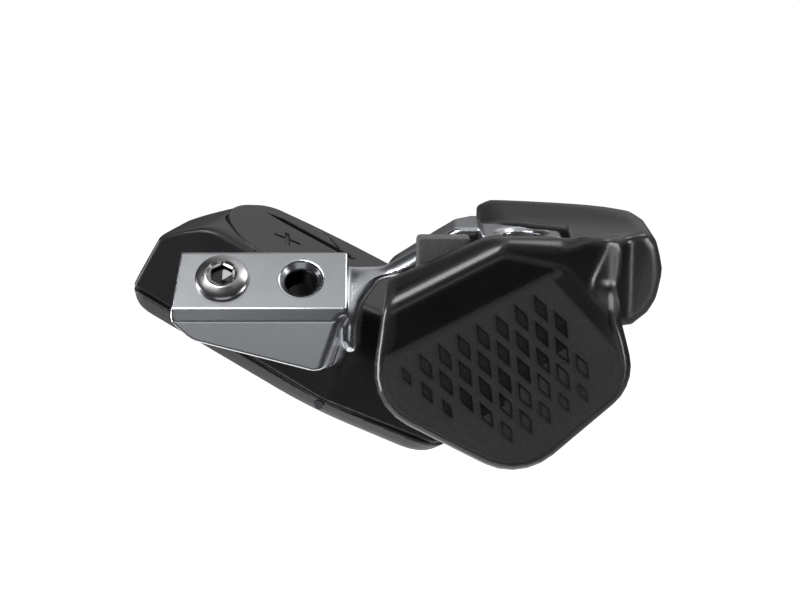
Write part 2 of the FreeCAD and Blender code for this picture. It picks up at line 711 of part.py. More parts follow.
def make_rocker():
    """One moulding: dished thumb paddle, neck, finger wing and the web under the boss."""
    paddle = new_body("paddle_blank", frame_at(0, -S.paddle_back, 0, ("X", -S.paddle_tilt)), node=False)
    outline = [(S.paddle_left, S.paddle_corner), (S.paddle_left_low, -S.paddle_left_drop),
               (S.paddle_low, -S.paddle_low_drop), (S.paddle_right, -S.paddle_right_drop),
               (S.neck_right, -S.paddle_right_drop / 3), (S.neck_right, S.paddle_top - S.paddle_ear),
               (S.neck_right - S.paddle_ear, S.paddle_top), (S.paddle_brow_left, S.paddle_top)]
    feature = prism(paddle, "XZ", outline, -S.paddle_thickness, 0)
    rounds = ((1, S.paddle_left_round), (2, S.paddle_low_round), (3, S.paddle_right_round))
    for corner, radius in rounds:
        x, z = outline[corner]
        feature = dress(paddle, "Fillet", feature,
                        lambda spot, way: close_to(spot, x=x, z=z), radius)
    dish = new_body("dish_cutter", frame_at(0, -S.paddle_back, 0, ("X", -S.paddle_tilt),
                                            ("Y", -S.brow_angle)), node=False)
    front = -S.paddle_thickness - 4
    low = -S.paddle_low_drop * 1.5
    profile = [(-S.brow_rim_depth, -S.brow_rim), (-S.paddle_thickness, -S.brow_ridge),
               (-S.brow_depth, -S.brow_crease), (-S.brow_depth, -S.brow_crease - S.dish_flat),
               (-S.dish_low_depth, low), (front, low), (front, 0), (-S.brow_rim_depth, 0)]
    prism(dish, "YZ", profile, -OUTSIDE, OUTSIDE)
    dished = boolean("Cut", "dished_paddle", paddle, dish, node=False)
    flank = new_body("flank_cutter", frame_at(0, -S.paddle_back, 0, ("X", -S.paddle_tilt),
                                              ("Y", S.flank_angle)), node=False)
    slope = [(-S.flank_depth, S.flank_crease), (-S.flank_end_depth, S.flank_crease + S.flank_run),
             (-S.flank_end_depth, OUTSIDE), (front, OUTSIDE), (front, S.flank_crease)]
    prism(flank, "YZ", slope, -OUTSIDE, OUTSIDE)
    thumb = boolean("Cut", "thumb_paddle", dished, flank, node=False)
    grown = boolean("Fuse", "grown_rocker", thumb, make_wing(), node=False)
    valley = new_body("neck_valley", node=False)
    rods(valley, "XY", [(S.valley_x, -S.valley_y)], S.valley_radius, S.valley_z, S.valley_z + S.valley_length)
    waisted = boolean("Cut", "waisted_rocker", grown, valley, node=False)
    scoop = new_body("neck_scoop", frame_at(S.scoop_x, -S.scoop_y, S.scoop_z, ("Y", S.scoop_turn)),
                     node=False)
    rods(scoop, "YZ", [CENTRE], S.scoop_radius, -S.scoop_length / 2, S.scoop_length / 2)
    boolean("Cut", "rocker_paddle", waisted, scoop)


def make_wing():
    """Neck round the boss end, finger wing behind it, web below it and tail between the switches."""
    inner = BOSS_RIGHT + S.rocker_gap
    across = (S.wing_left, S.wing_right)
    plan = new_body("wing_plan", node=False)
    outline = spread(WING_PLAN, across, (-S.wing_front, S.wing_rear))
    outline += [(S.wing_left, boss_edge(S.wing_left, S.rocker_gap)), (inner, boss_edge(inner, S.rocker_gap)),
                (inner, -S.wing_front)]
    prism(plan, "XY", outline, -S.wing_low, S.wing_high)
    view = new_body("wing_view", node=False)
    shape = [(S.wing_left, WEB_LOW), (inner, WEB_LOW)]
    shape += spread(WING_VIEW, across, (-S.wing_low, S.wing_high))
    prism(view, "XZ", shape, -S.wing_front * 2, S.wing_rear * 2)
    block = boolean("Common", "wing_block", plan, view, node=False)
    above_wing = new_body("above_wing", frame_at(S.roof_x, S.roof_y, S.roof_z, ("Y", -S.roof_roll),
                                                 ("X", S.roof_pitch)), node=False)
    prism(above_wing, "XY", box_points(0, 0, OUTSIDE * 2, OUTSIDE * 2), 0, OUTSIDE)
    rise = sine(S.neck_roof_slope) / cosine(S.neck_roof_slope)
    above_neck = new_body("above_neck", node=False)
    prism(above_neck, "YZ", [(-OUTSIDE, S.neck_roof + OUTSIDE * rise), (OUTSIDE, S.neck_roof - OUTSIDE * rise),
                             (OUTSIDE, OUTSIDE), (-OUTSIDE, OUTSIDE)], -OUTSIDE, OUTSIDE * 2)
    sky = boolean("Common", "above_roof", above_wing, above_neck, node=False)
    roofed = boolean("Cut", "roofed_wing", block, sky, node=False)
    beyond = new_body("beyond_tip", frame_at(S.tip_x, S.tip_y, S.tip_z, ("Y", -S.tip_roll),
                                             ("X", S.tip_pitch)), node=False)
    prism(beyond, "XY", box_points(0, 0, OUTSIDE * 2, OUTSIDE * 2), 0, OUTSIDE)
    tipped = boolean("Cut", "tipped_wing", roofed, beyond, node=False)
    web = new_body("boss_web", node=False)
    rear = boss_edge(inner, S.rocker_gap) + S.rocker_gap
    bridge = [(S.wing_left, -S.paddle_back - S.rocker_gap / 2), (inner + S.rocker_gap, -S.paddle_back - S.rocker_gap / 2),
              (inner + S.rocker_gap, rear), (S.wing_left, boss_edge(S.wing_left, S.rocker_gap) + S.rocker_gap),
              (S.wing_left, S.tail_rear), (S.tail_left, S.tail_rear), (S.tail_left, S.tail_front),
              (S.wing_left, S.tail_front)]
    prism(web, "XY", bridge, WEB_LOW, TAIL_LEVEL)
    rods(web, "XY", [PIVOT], S.pin_diameter / 2, WEB_LOW - 1, TAIL_LEVEL, cut=True)
    return boolean("Fuse", "finger_wing", tipped, web, node=False)


def make_switch_carrier():
    """Textured carrier hung on the arm, with a sealed switch on each side of the rocker's tail."""
    travel = (S.pivot_x - S.tail_left) * sine(S.rocker_travel) + S.boot_gap
    front_tip = S.tail_front - travel
    rear_tip = S.tail_rear + travel
    level = (TAIL_LEVEL + WEB_LOW) / 2
    rear_inner = rear_tip + 0.3
    floor_low = -S.carrier_floor - S.carrier_wall
    body = new_body("switch_carrier")
    section = [(-S.carrier_front, floor_low), (rear_inner + S.carrier_rear_wall, floor_low),
               (rear_inner + S.carrier_rear_wall, 0), (rear_inner, 0), (rear_inner, -S.carrier_floor),
               (S.arm_front, -S.carrier_floor), (S.arm_front, S.carrier_top),
               (-S.carrier_front, S.carrier_top)]
    feature = prism(body, "YZ", section, S.carrier_left, S.carrier_right)
    feature = dress(body, "Fillet", feature,
                    lambda spot, way: close_to(spot, y=-S.carrier_front, z=S.carrier_top)
                    or (near(spot.x, S.carrier_left) and close_to(spot, y=-S.carrier_front))
                    or (near(spot.x, S.carrier_right) and close_to(spot, y=-S.carrier_front)),
                    S.arm_round / 2)
    sides = (("front", front_tip, S.arm_front, -1), ("rear", rear_tip, rear_inner, 1))
    pocket = box_points(S.switch_x, level, S.switch_width, S.switch_height)
    for name, tip, mouth, way in sides:
        seat = tip + way * S.boot_height
        back = seat + way * S.switch_depth
        prism(body, "XZ", pocket, *between(back, mouth), cut=True)
        switch = new_body(f"tact_switch_{name}")
        prism(switch, "XZ", pocket, *between(back, seat))
        boot = new_body(f"switch_boot_{name}")
        rods(boot, "XZ", [(S.switch_x, level)], S.boot_diameter / 2, *between(seat, tip))
    screw_spot = [(S.carrier_screw_x, S.carrier_screw_z)]
    head_seat = -S.carrier_front + S.screw_head_height
    rods(body, "XZ", screw_spot, S.screw_head_diameter / 2 + S.screw_clearance,
         -S.carrier_front - 1, head_seat, cut=True)
    rods(body, "XZ", screw_spot, S.screw_diameter / 2 + S.screw_clearance,
         -S.carrier_front, S.arm_front, cut=True)
    screw = new_body("carrier_screw")
    rods(screw, "XZ", screw_spot, S.screw_head_diameter / 2, -S.carrier_front, head_seat)
    rods(screw, "XZ", screw_spot, S.screw_diameter / 2, head_seat, S.arm_front + S.carrier_screw_length)


def pod_outline(inset=0, corners=SEAM_CORNERS):
    """Outline of the pod in its own frame, seen from the door side: at the seam or at the shoulder."""
    return spread(corners, (-S.pod_left + inset, S.pod_right - inset),
                  (-S.pod_front + inset, S.pod_rear - inset))


def pod_top_outline(inset=0):
    """Outline of the pod's top face, with as many corners as the seam outline."""
    return spread(TOP_CORNERS, (-S.pod_top_left + inset, S.pod_top_right - inset),
                  (-S.pod_top_front + inset, S.pod_top_rear - inset))


def cover_screw_spots():
    """Centres of the three screws that hold the pod's cover."""
    reach = S.screw_diameter / 2 + S.screw_boss_wall
    return [(-S.door_diameter / 2 + 1, -S.pod_top_front / 2 + reach),
            (S.pod_top_right - reach * 2 - 3, 0),
            (S.pod_right * 0.2, S.pod_top_rear - S.pod_wall - reach)]


def door_groove():
    """Pointed alignment groove that runs from the battery door into the rim."""
    half = S.groove_width / 2
    start = (S.groove_start, S.groove_offset)
    end = (S.groove_end, S.groove_offset - S.groove_skew)
    return [start, (S.groove_start + 2 * S.groove_width, S.groove_offset - half),
            (S.groove_end - half, end[1] - half), end, (S.groove_end - half, end[1] + half),
            (S.groove_start + 2 * S.groove_width, S.groove_offset + half)]


def make_pod_housing():
    """Upper housing: a faceted shell with the battery cup, screw bosses and the mounting pad."""
    body = new_body("pod_upper_housing", POD_FRAME)
    edge = S.pod_edge_round
    loft(body, (pod_outline(), -S.pod_height), (pod_outline(0, SHOULDER_CORNERS), -S.pod_shoulder),
         (pod_top_outline(), -edge), (pod_top_outline(edge), 0))
    pad = box_points((S.pad_left + S.pad_right) / 2, -(S.pad_top + S.pad_low) / 2,
                     S.pad_right - S.pad_left, S.pad_low - S.pad_top)
    prism(body, "XZ", pad, -S.pad_reach, INNER_FRONT)
    roof = -S.pod_wall
    prism(body, "XY", pod_top_outline(S.pod_wall), -S.pod_height, roof, cut=True)
    rods(body, "XY", [CENTRE], DOOR_BORE + S.cup_wall, CUP_FLOOR - S.cup_wall, roof)
    towers(body, cover_screw_spots(), TOWER_WIDTH, -S.pod_height, roof)
    towers(body, board_post_spots()[:2], S.post_width, -S.board_level, roof)
    towers(body, board_post_spots()[2:], S.post_width, -S.board_level, CUP_FLOOR - S.cup_wall)
    rods(body, "XY", [CENTRE], DOOR_BORE, LEDGE, 1, cut=True)
    rods(body, "XY", [CENTRE], S.cell_diameter / 2 + S.cell_clearance, CUP_FLOOR, 1, cut=True)
    prism(body, "XY", door_groove(), -S.groove_depth, 1, cut=True)
    for x, width in contact_slots():
        slot = box_points(x, 0, width, S.contact_width + 2 * S.cell_clearance)
        prism(body, "XY", slot, CUP_FLOOR - S.cup_wall - 1, LEDGE, cut=True)
    rods(body, "XY", cover_screw_spots(), S.screw_diameter / 2, -S.pod_height,
         -S.pod_height + S.cover_screw_grip, cut=True)
    seat = INNER_FRONT - S.mount_screw_sunk
    rods(body, "XZ", mount_screw_spots(), S.screw_diameter / 2 + S.screw_clearance,
         -S.pad_reach - 1, seat, cut=True)
    rods(body, "XZ", mount_screw_spots(), S.screw_head_diameter / 2 + S.screw_clearance,
         seat, seat + S.screw_head_height + S.mount_screw_sunk, cut=True)
    screws = new_body("mount_screws", POD_FRAME)
    rods(screws, "XZ", mount_screw_spots(), S.screw_head_diameter / 2, seat, seat + S.screw_head_height)
    rods(screws, "XZ", mount_screw_spots(), S.screw_diameter / 2,
         -S.pad_reach - S.mount_screw_grip, seat)


def contact_slots():
    """Middle and width of the slots that let the two cell contacts out of the cup."""
    positive = S.cell_diameter / 2 + S.contact_thickness / 2
    negative = S.cell_diameter / 4 + S.contact_thickness / 2
    room = S.contact_thickness + 2 * S.cell_clearance
    return [(positive, room), (negative, room)]


def board_post_spots():
    """Centres of the three posts that carry the circuit board."""
    return [(S.pod_top_right / 2 + 4, S.pod_top_rear / 2), (S.pod_top_right / 2 + 4, -S.pod_top_front / 3),
            (-S.cell_diameter / 2, 0)]


def make_battery():
    """Door and its seal, with the coin cell and the two contacts in the cup below."""
    door = new_body("battery_door", POD_FRAME)
    rods(door, "XY", [CENTRE], S.door_diameter / 2, -S.door_thickness, 0)
    prism(door, "XY", door_groove(), -S.groove_depth, 1, cut=True)
    rods(door, "XY", [CENTRE], S.cell_diameter / 2 - S.cell_step, CELL_TOP + S.cell_clearance / 2,
         -S.door_thickness)
    seal = new_body("door_seal", POD_FRAME)
    rim = S.door_diameter / 2 - S.door_clearance
    tubes(seal, "XY", [CENTRE], rim, rim - S.seal_width, LEDGE + S.seal_clearance, -S.door_thickness)
    cell = new_body("coin_cell", POD_FRAME)
    rods(cell, "XY", [CENTRE], S.cell_diameter / 2, CELL_LOW + S.cell_step / 4, CELL_TOP)
    rods(cell, "XY", [CENTRE], S.cell_diameter / 2 - S.cell_step, CELL_LOW, CELL_LOW + S.cell_step / 4)
    (positive_x, _), (negative_x, _) = contact_slots()
    width = S.contact_width
    positive = new_body("positive_contact", POD_FRAME)
    leg = box_points(positive_x, 0, S.contact_thickness, width)
    prism(positive, "XY", leg, -S.board_level, CELL_TOP)
    negative = new_body("negative_contact", POD_FRAME)
    pad = box_points(0, 0, 2 * negative_x + S.contact_thickness, width)
    prism(negative, "XY", pad, CUP_FLOOR, CELL_LOW)
    prism(negative, "XY", box_points(negative_x, 0, S.contact_thickness, width), -S.board_level, CELL_LOW)


def make_pod_cover():
    """Gasket and bottom cover under the seam, with the three screws that hold them."""
    gasket = new_body("pod_gasket", POD_FRAME)
    sketch = new_sketch(gasket, "XY", SEAM)
    draw_polygon(sketch, pod_outline(S.gasket_inset))
    draw_polygon(sketch, pod_top_outline(S.pod_wall))
    sweep_sketch(gasket, sketch, S.gasket_thickness, False)
    towers(gasket, cover_screw_spots(), TOWER_WIDTH, SEAM, -S.pod_height, cut=True)
    body = new_body("pod_bottom_cover", POD_FRAME)
    edge = S.pod_edge_round
    loft(body, (pod_outline(S.cover_inset + edge), COVER_LOW),
         (pod_outline(S.cover_inset), COVER_LOW + edge * 0.4),
         (pod_outline(edge * 0.4), SEAM - edge * 2), (pod_outline(), SEAM))
    floor = COVER_LOW + S.pod_wall
    prism(body, "XY", pod_top_outline(S.pod_wall), floor, SEAM, cut=True)
    towers(body, cover_screw_spots(), TOWER_WIDTH, floor, -S.pod_height)
    towers(body, board_post_spots(), S.post_width, floor, BOARD_LOW)
    head_seat = COVER_LOW + S.screw_head_height
    rods(body, "XY", cover_screw_spots(), S.screw_head_diameter / 2 + S.screw_clearance,
         COVER_LOW - 1, head_seat, cut=True)
    rods(body, "XY", cover_screw_spots(), S.screw_diameter / 2 + S.screw_clearance,
         COVER_LOW, -S.pod_height, cut=True)
    rods(body, "XY", [BUTTON], S.button_diameter / 2 + S.button_clearance, COVER_LOW - 1, floor, cut=True)
    rods(body, "XZ", [lens_spot()], S.lens_diameter / 2, -S.pod_front - 1, INNER_FRONT + 1, cut=True)
    screws = new_body("cover_screws", POD_FRAME)
    rods(screws, "XY", cover_screw_spots(), S.screw_head_diameter / 2, COVER_LOW, head_seat)
    rods(screws, "XY", cover_screw_spots(), S.screw_diameter / 2, head_seat,
         -S.pod_height + S.cover_screw_grip)


def lens_spot():
    """Centre of the light pipe in the cover's front wall, as length and height."""
    return (S.lens_l, SEAM - S.lens_drop)


def make_electronics():
    """Circuit board, function button with its switch, and the light pipe."""
    board = new_body("main_circuit_board", POD_FRAME)
    prism(board, "XY", pod_top_outline(S.pod_wall + S.board_clearance), BOARD_LOW, -S.board_level)
    towers(board, cover_screw_spots(), TOWER_WIDTH + S.board_clearance, BOARD_LOW, -S.board_level, cut=True)
    switch = new_body("button_switch", POD_FRAME)
    switch_low = BOARD_LOW - S.tact_height
    prism(switch, "XY", box_points(*BUTTON, S.tact_size, S.tact_size), switch_low, BOARD_LOW)
    button = new_body("function_button", POD_FRAME)
    floor = COVER_LOW + S.pod_wall
    flange_top = floor + S.button_flange_thickness
    rods(button, "XY", [BUTTON], S.button_diameter / 2, COVER_LOW - S.button_proud, floor)
    rods(button, "XY", [BUTTON], S.button_diameter / 2 + S.button_flange, floor + S.button_clearance / 2,
         flange_top)
    towers(button, [BUTTON], S.button_diameter / 2, floor,
           switch_low - S.button_travel - S.button_clearance)
    lens = new_body("led_lens", POD_FRAME)
    rods(lens, "XZ", [lens_spot()], S.lens_diameter / 2, -S.pod_front + S.lens_sunk, INNER_FRONT)


for make in (make_clamp_bracket, make_clamp_fasteners, make_pivot, make_rocker, make_switch_carrier,
             make_pod_housing, make_battery, make_pod_cover, make_electronics):
    make()

DOC.recompute()
failed = [part.Name for part in DOC.Objects if {"Invalid", "Error"} & set(part.State)]
failed += [node.Label for node in NODES if node.Shape.isNull() or not node.Shape.isValid()]
if failed:
    raise RuntimeError(f"could not build: {failed}")

os.makedirs("parts", exist_ok=True)
for node in NODES:
    node.Shape.exportStep(f"parts/{node.Label}.step")
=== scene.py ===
"""Studio model of a bar-mounted electronic shift switch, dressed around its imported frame.

Sizes in the classes are millimetres on the frame's axes: X runs along the clamp holes, Y away from the
rider and Z along the rocker's pivot. Meshes are written in metres. Most pieces are the zero surface of
a distance field: a formula that is negative inside the piece, worked out on a grid of points at once.
"""
import json
import logging
import math
from dataclasses import dataclass
from enum import Enum
from functools import reduce
from itertools import product
from typing import Callable, Optional, Sequence

import bpy
import numpy as np
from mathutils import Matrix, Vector


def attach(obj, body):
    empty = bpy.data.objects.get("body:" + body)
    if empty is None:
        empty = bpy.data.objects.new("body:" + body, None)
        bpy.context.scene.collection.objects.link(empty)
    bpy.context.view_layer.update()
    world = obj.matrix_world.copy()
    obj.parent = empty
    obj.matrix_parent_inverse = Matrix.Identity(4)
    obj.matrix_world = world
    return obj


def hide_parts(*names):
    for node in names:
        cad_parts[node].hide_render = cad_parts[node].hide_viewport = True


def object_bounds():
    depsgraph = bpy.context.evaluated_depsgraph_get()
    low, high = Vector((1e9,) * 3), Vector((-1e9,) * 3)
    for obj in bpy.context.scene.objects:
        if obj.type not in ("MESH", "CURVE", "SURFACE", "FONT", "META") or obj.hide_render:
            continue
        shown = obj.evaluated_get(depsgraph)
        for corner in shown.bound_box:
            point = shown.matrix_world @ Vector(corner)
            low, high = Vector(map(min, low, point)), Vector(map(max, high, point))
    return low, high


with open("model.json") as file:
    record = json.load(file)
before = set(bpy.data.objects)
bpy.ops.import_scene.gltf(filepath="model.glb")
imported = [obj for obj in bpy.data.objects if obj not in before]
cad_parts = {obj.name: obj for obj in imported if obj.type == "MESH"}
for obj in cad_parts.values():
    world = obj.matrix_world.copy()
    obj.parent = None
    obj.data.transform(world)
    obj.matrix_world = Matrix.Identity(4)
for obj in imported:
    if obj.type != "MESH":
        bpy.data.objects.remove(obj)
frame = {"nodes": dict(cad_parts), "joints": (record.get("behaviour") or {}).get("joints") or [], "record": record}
CAD_LOW, CAD_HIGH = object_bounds()

LOG = logging.getLogger("shift_switch")
MM = 0.001
# Cosine of a 45 degree bevel, and a field value well outside any cut
BEVEL = 0.7071
FAR = 9.0
# Tone of shaded hollows, and the angle in degrees above which a revolved edge stays sharp
SHADE_TONE = 0.003
SHARP_ANGLE = 20.0
# Edge mask: gain on the bulge, and its least reach in millimetres
EDGE_GAIN = 0.6
EDGE_REACH = 0.3
# Settling of net points: rounds, reach and longest shift in grid steps, and least squared slope
SETTLE_ROUNDS = 2
SLOPE_REACH = 0.25
MOST_SHIFT = 0.5
LEAST_SLOPE = 0.2
Array = np.ndarray
Spot = tuple[float, float]
Distance = Callable[[Array, Array, Array], Array]


class Body(Enum):
    """Bodies of the frame that pieces ride on."""

    BASE = "base"
    ROCKER = "rocker"
    DOOR = "battery_door"
    BUTTON = "function_button"


class Mask(Enum):
    """Point attributes that the finishes read."""

    EDGE = "edge"
    GRAIN = "grain"
    SHADE = "shade"


# Field formulas


def turn(angle: float) -> tuple[float, float]:
    """Cosine and sine of an angle in degrees."""
    return math.cos(math.radians(angle)), math.sin(math.radians(angle))


def smooth_max(one: Array, other: Array | float, blend: Array | float) -> Array:
    """Larger of two fields, with a rounded changeover.

    Args:
        one: first field.
        other: second field.
        blend: width of the changeover, in millimetres.

    Returns:
        max(a, b) + max(k - |a - b|, 0) squared over 4 k.
    """
    overlap = np.maximum(blend - np.abs(one - other), 0.0)
    return np.maximum(one, other) + overlap * overlap / (4.0 * blend)


def smooth_min(one: Array, other: Array | float, blend: Array | float) -> Array:
    """Smaller of two fields, with a rounded changeover: minus the smooth maximum of their negatives."""
    return -smooth_max(-one, -other, blend)


def smooth_step(value: Array, low: float, high: float) -> Array:
    """Ramp from 0 at low to 1 at high: 3 t squared minus 2 t cubed."""
    share = np.clip((value - low) / (high - low), 0.0, 1.0)
    return share * share * (3.0 - 2.0 * share)


def outline_distance(points: Sequence[Spot], x: Array, y: Array) -> Array:
    """Signed distance to a closed outline, negative inside.

    Args:
        points: corners in order.
        x: first coordinates.
        y: second coordinates, of a shape that broadcasts with x.

    Returns:
        The least distance to any edge, with its sign from the count of edges that a ray crosses.
    """
    corners = np.asarray(points, float)
    x, y = np.broadcast_arrays(x, y)
    nearest = np.full(x.shape, np.inf)
    inside = np.zeros(x.shape, bool)
    for (ax, ay), (bx, by) in zip(corners, np.roll(corners, -1, axis=0)):
        ex, ey = bx - ax, by - ay
        px, py = x - ax, y - ay
        share = np.clip((px * ex + py * ey) / (ex * ex + ey * ey), 0.0, 1.0)
        nearest = np.minimum(nearest, (px - share * ex) ** 2 + (py - share * ey) ** 2)
        if ey:
            inside ^= ((ay > y) != (by > y)) & (x < ex * py / ey + ax)
    return np.where(inside, -1.0, 1.0) * np.sqrt(nearest)


def rounded_outline(corners: Sequence[Spot], radii: Sequence[float], steps: int = 6) -> Array:
    """Outline whose corners are replaced by arcs.

    Args:
        corners: corners in order.
        radii: arc radius of each corner.
        steps: points on each arc.

    Returns:
        Points of the rounded outline. Each arc's centre lies on the corner's bisector, at the radius
        over the sine of half the corner's angle.
    """
    spots = np.asarray(corners, float)
    before = np.roll(spots, 1, axis=0) - spots
    after = np.roll(spots, -1, axis=0) - spots
    before /= np.linalg.norm(before, axis=1)[:, None]
    after /= np.linalg.norm(after, axis=1)[:, None]
    half = np.arccos(np.clip((before * after).sum(1), -1.0, 1.0)) / 2.0
    run = np.asarray(radii, float) / np.tan(half)
    share = np.linspace(0.0, 1.0, steps)[None, :, None]
    first = spots + before * run[:, None]
    last = spots + after * run[:, None]
    bend = 2.0 * share * (1.0 - share) * np.sin(half)[:, None, None]
    top = (1 - share) ** 2 * first[:, None] + bend * spots[:, None] + share ** 2 * last[:, None]
    return (top / ((1 - share) ** 2 + bend + share ** 2)).reshape(-1, 2)


def box_distance(value: Array, low: float, high: float) -> Array:
    """Distance outside a slab between two levels: |v - middle| minus half the width."""
    return np.abs(value - (low + high) / 2.0) - (high - low) / 2.0


def travel(spot: Spot, way: Spot, x: Array, y: Array) -> Array:
    """Distance past a spot along a direction, in two axes: a (x - x0) + b (y - y0)."""
    return way[0] * (x - spot[0]) + way[1] * (y - spot[1])


@dataclass(frozen=True)
class Plane:
    """Plane through a spot, with the way out of the solid and a scale that makes its field a distance."""

    spot: tuple[float, float, float]
    way: tuple[float, float, float]
    scale: float = 1.0

    def distance(self, x: Array, y: Array, z: Array) -> Array:
        """Distance outside the plane: k (a (x - x0) + b (y - y0) + c (z - z0))."""
        (x0, y0, z0), (a, b, c) = self.spot, self.way
        return (a * (x - x0) + b * (y - y0) + c * (z - z0)) * self.scale


@dataclass(frozen=True)
class Block:
    """Box along the axes, between two opposite corners."""

    low: tuple[float, float, float]
    high: tuple[float, float, float]

    def distance(self, x: Array, y: Array, z: Array) -> Array:
        """Largest distance outside any of the box's three slabs."""
        slabs = (box_distance(value, *ends) for value, *ends in zip((x, y, z), self.low, self.high))
        return reduce(np.maximum, slabs)


# Meshes


@dataclass(frozen=True)
class Placement:
    """Local axes of a piece: a point is the origin plus its coordinates along three unit axes."""

    origin: tuple[float, float, float] = (0.0, 0.0, 0.0)
    axes: tuple[tuple[float, float, float], ...] = ((1, 0, 0), (0, 1, 0), (0, 0, 1))

    def to_frame(self, points: Array) -> Array:
        """Frame coordinates of local points."""
        return np.asarray(self.origin) + points @ np.asarray(self.axes, float)


@dataclass(frozen=True)
class FieldGrid:
    """Box of grid points, in a piece's local axes, on which its field is worked out."""

    low: tuple[float, float, float]
    high: tuple[float, float, float]
    step: float

    def levels(self) -> list[Array]:
        """Grid levels along each axis."""
        return [np.arange(a, b + self.step, self.step) for a, b in zip(self.low, self.high)]


def field_gradient(distance: Distance, points: Array, reach: float) -> Array:
    """Slope of a field at points, from differences over twice the reach along each axis."""
    slopes = []
    for axis in range(3):
        shift = np.zeros(3)
        shift[axis] = reach
        slopes.append((distance(*(points + shift).T) - distance(*(points - shift).T)) / (2.0 * reach))
    return np.stack(slopes, axis=1)


def convexity(distance: Distance, points: Array, reach: float) -> Array:
    """How sharply a surface bulges at points: the field's Laplacian, from six neighbours at the reach."""
    total = -6.0 * distance(*points.T)
    for axis, way in product(range(3), (-reach, reach)):
        shift = np.zeros(3)
        shift[axis] = way
        total = total + distance(*(points + shift).T)
    return total / reach ** 2


def zero_surface(distance: Distance, grid: FieldGrid) -> tuple[Array, Array]:
    """Mesh of a field's zero surface, as a net over the grid cells that it crosses.

    Args:
        distance: field, negative inside.
        grid: box and step of the grid.

    Returns:
        Points and four-cornered faces. Each crossed cell has one point, the mean of the places where
        its edges cross zero, drawn onto the surface by Newton steps along the field's slope.
    """
    x, y, z = grid.levels()
    values = distance(x[:, None, None], y[None, :, None], z[None, None, :])
    values = np.broadcast_to(values, (len(x), len(y), len(z)))
    inside = values < 0.0
    corners = [np.array(c) for c in product((0, 1), repeat=3)]
    size = np.array(values.shape) - 1
    count = sum(inside[c[0]:c[0] + size[0], c[1]:c[1] + size[1], c[2]:c[2] + size[2]].astype(np.int8)
                for c in corners)
    cells = np.argwhere((count > 0) & (count < 8))
    index = np.full(size, -1)
    index[tuple(cells.T)] = np.arange(len(cells))
    total = np.zeros((len(cells), 3))
    hits = np.zeros(len(cells))
    spans = ((a, b) for a, b in product(corners, repeat=2) if (b - a).sum() == 1 and (b >= a).all())
    for one, other in spans:
        start = values[tuple((cells + one).T)]
        end = values[tuple((cells + other).T)]
        crossed = (start < 0.0) != (end < 0.0)
        share = np.where(crossed, start / np.where(crossed, start - end, 1.0), 0.0)
        total += np.where(crossed[:, None], one + share[:, None] * (other - one), 0.0)
        hits += crossed
    points = np.array(grid.low) + grid.step * (cells + total / hits[:, None])
    faces = []
    for axis in range(3):
        first, second = (axis + 1) % 3, (axis + 2) % 3
        ahead = np.roll(inside, -1, axis=axis)
        edges = np.argwhere(inside != ahead)
        keep = (edges[:, axis] < size[axis]) & (edges > 0)[:, [first, second]].all(1)
        edges = edges[keep & (edges[:, first] < size[first]) & (edges[:, second] < size[second])]
        steps = np.zeros((4, 3), int)
        steps[1, first] = steps[2, first] = -1
        steps[2, second] = steps[3, second] = -1
        ring = index[tuple((edges[:, None, :] + steps[None]).transpose(2, 0, 1))]
        outward = inside[tuple(edges.T)]
        faces.append(np.where(outward[:, None], ring, ring[:, ::-1]))
    most = MOST_SHIFT * grid.step
    for _ in range(SETTLE_ROUNDS):
        slope = field_gradient(distance, points, grid.step * SLOPE_REACH)
        shift = distance(*points.T)[:, None] * slope / np.maximum((slope ** 2).sum(1), LEAST_SLOPE)[:, None]
        points = points - np.clip(shift, -most, most)
    return points, np.concatenate(faces)


def add_mesh(name: str, points: Array, faces: Array, masks: Optional[dict[Mask, Array]] = None
             ) -> bpy.types.Object:
    """New smooth-shaded object at the origin.

    Args:
        name: name of the piece.
        points: points in frame millimetres.
        faces: corner numbers of each face.
        masks: point attributes that the finish reads.

    Returns:
        The object, linked to the scene.
    """
    mesh = bpy.data.meshes.new(name)
    mesh.from_pydata((points * MM).tolist(), [], faces.tolist())
    mesh.validate()
    mesh.shade_smooth()
    for mask, values in (masks or {}).items():
        layer = mesh.attributes.new(mask.value, "FLOAT", "POINT")
        layer.data.foreach_set("value", values.astype(np.float32))
    piece = bpy.data.objects.new(name, mesh)
    bpy.context.scene.collection.objects.link(piece)
    return piece


def field_piece(name: str, distance: Distance, grid: FieldGrid, place: Placement,
                grain: Optional[Distance] = None, shade: Optional[Distance] = None) -> bpy.types.Object:
    """Object from a field, with its edge mask and optional grain and shade masks.

    Args:
        name: name of the piece.
        distance: field in the piece's local axes.
        grid: box and step.
        place: local axes in the frame.
        grain: share of moulded grain over the surface, from 0 to 1.
        shade: share by which the surface is darkened, from 0 to 1.

    Returns:
        The new object.
    """
    points, faces = zero_surface(distance, grid)
    bulge = convexity(distance, points, max(grid.step, EDGE_REACH))
    masks = {Mask.EDGE: np.clip(bulge * EDGE_GAIN, 0.0, 1.0)}
    for mask, share in ((Mask.GRAIN, grain), (Mask.SHADE, shade)):
        if share:
            masks[mask] = share(*points.T)
    return add_mesh(name, place.to_frame(points), faces, masks)


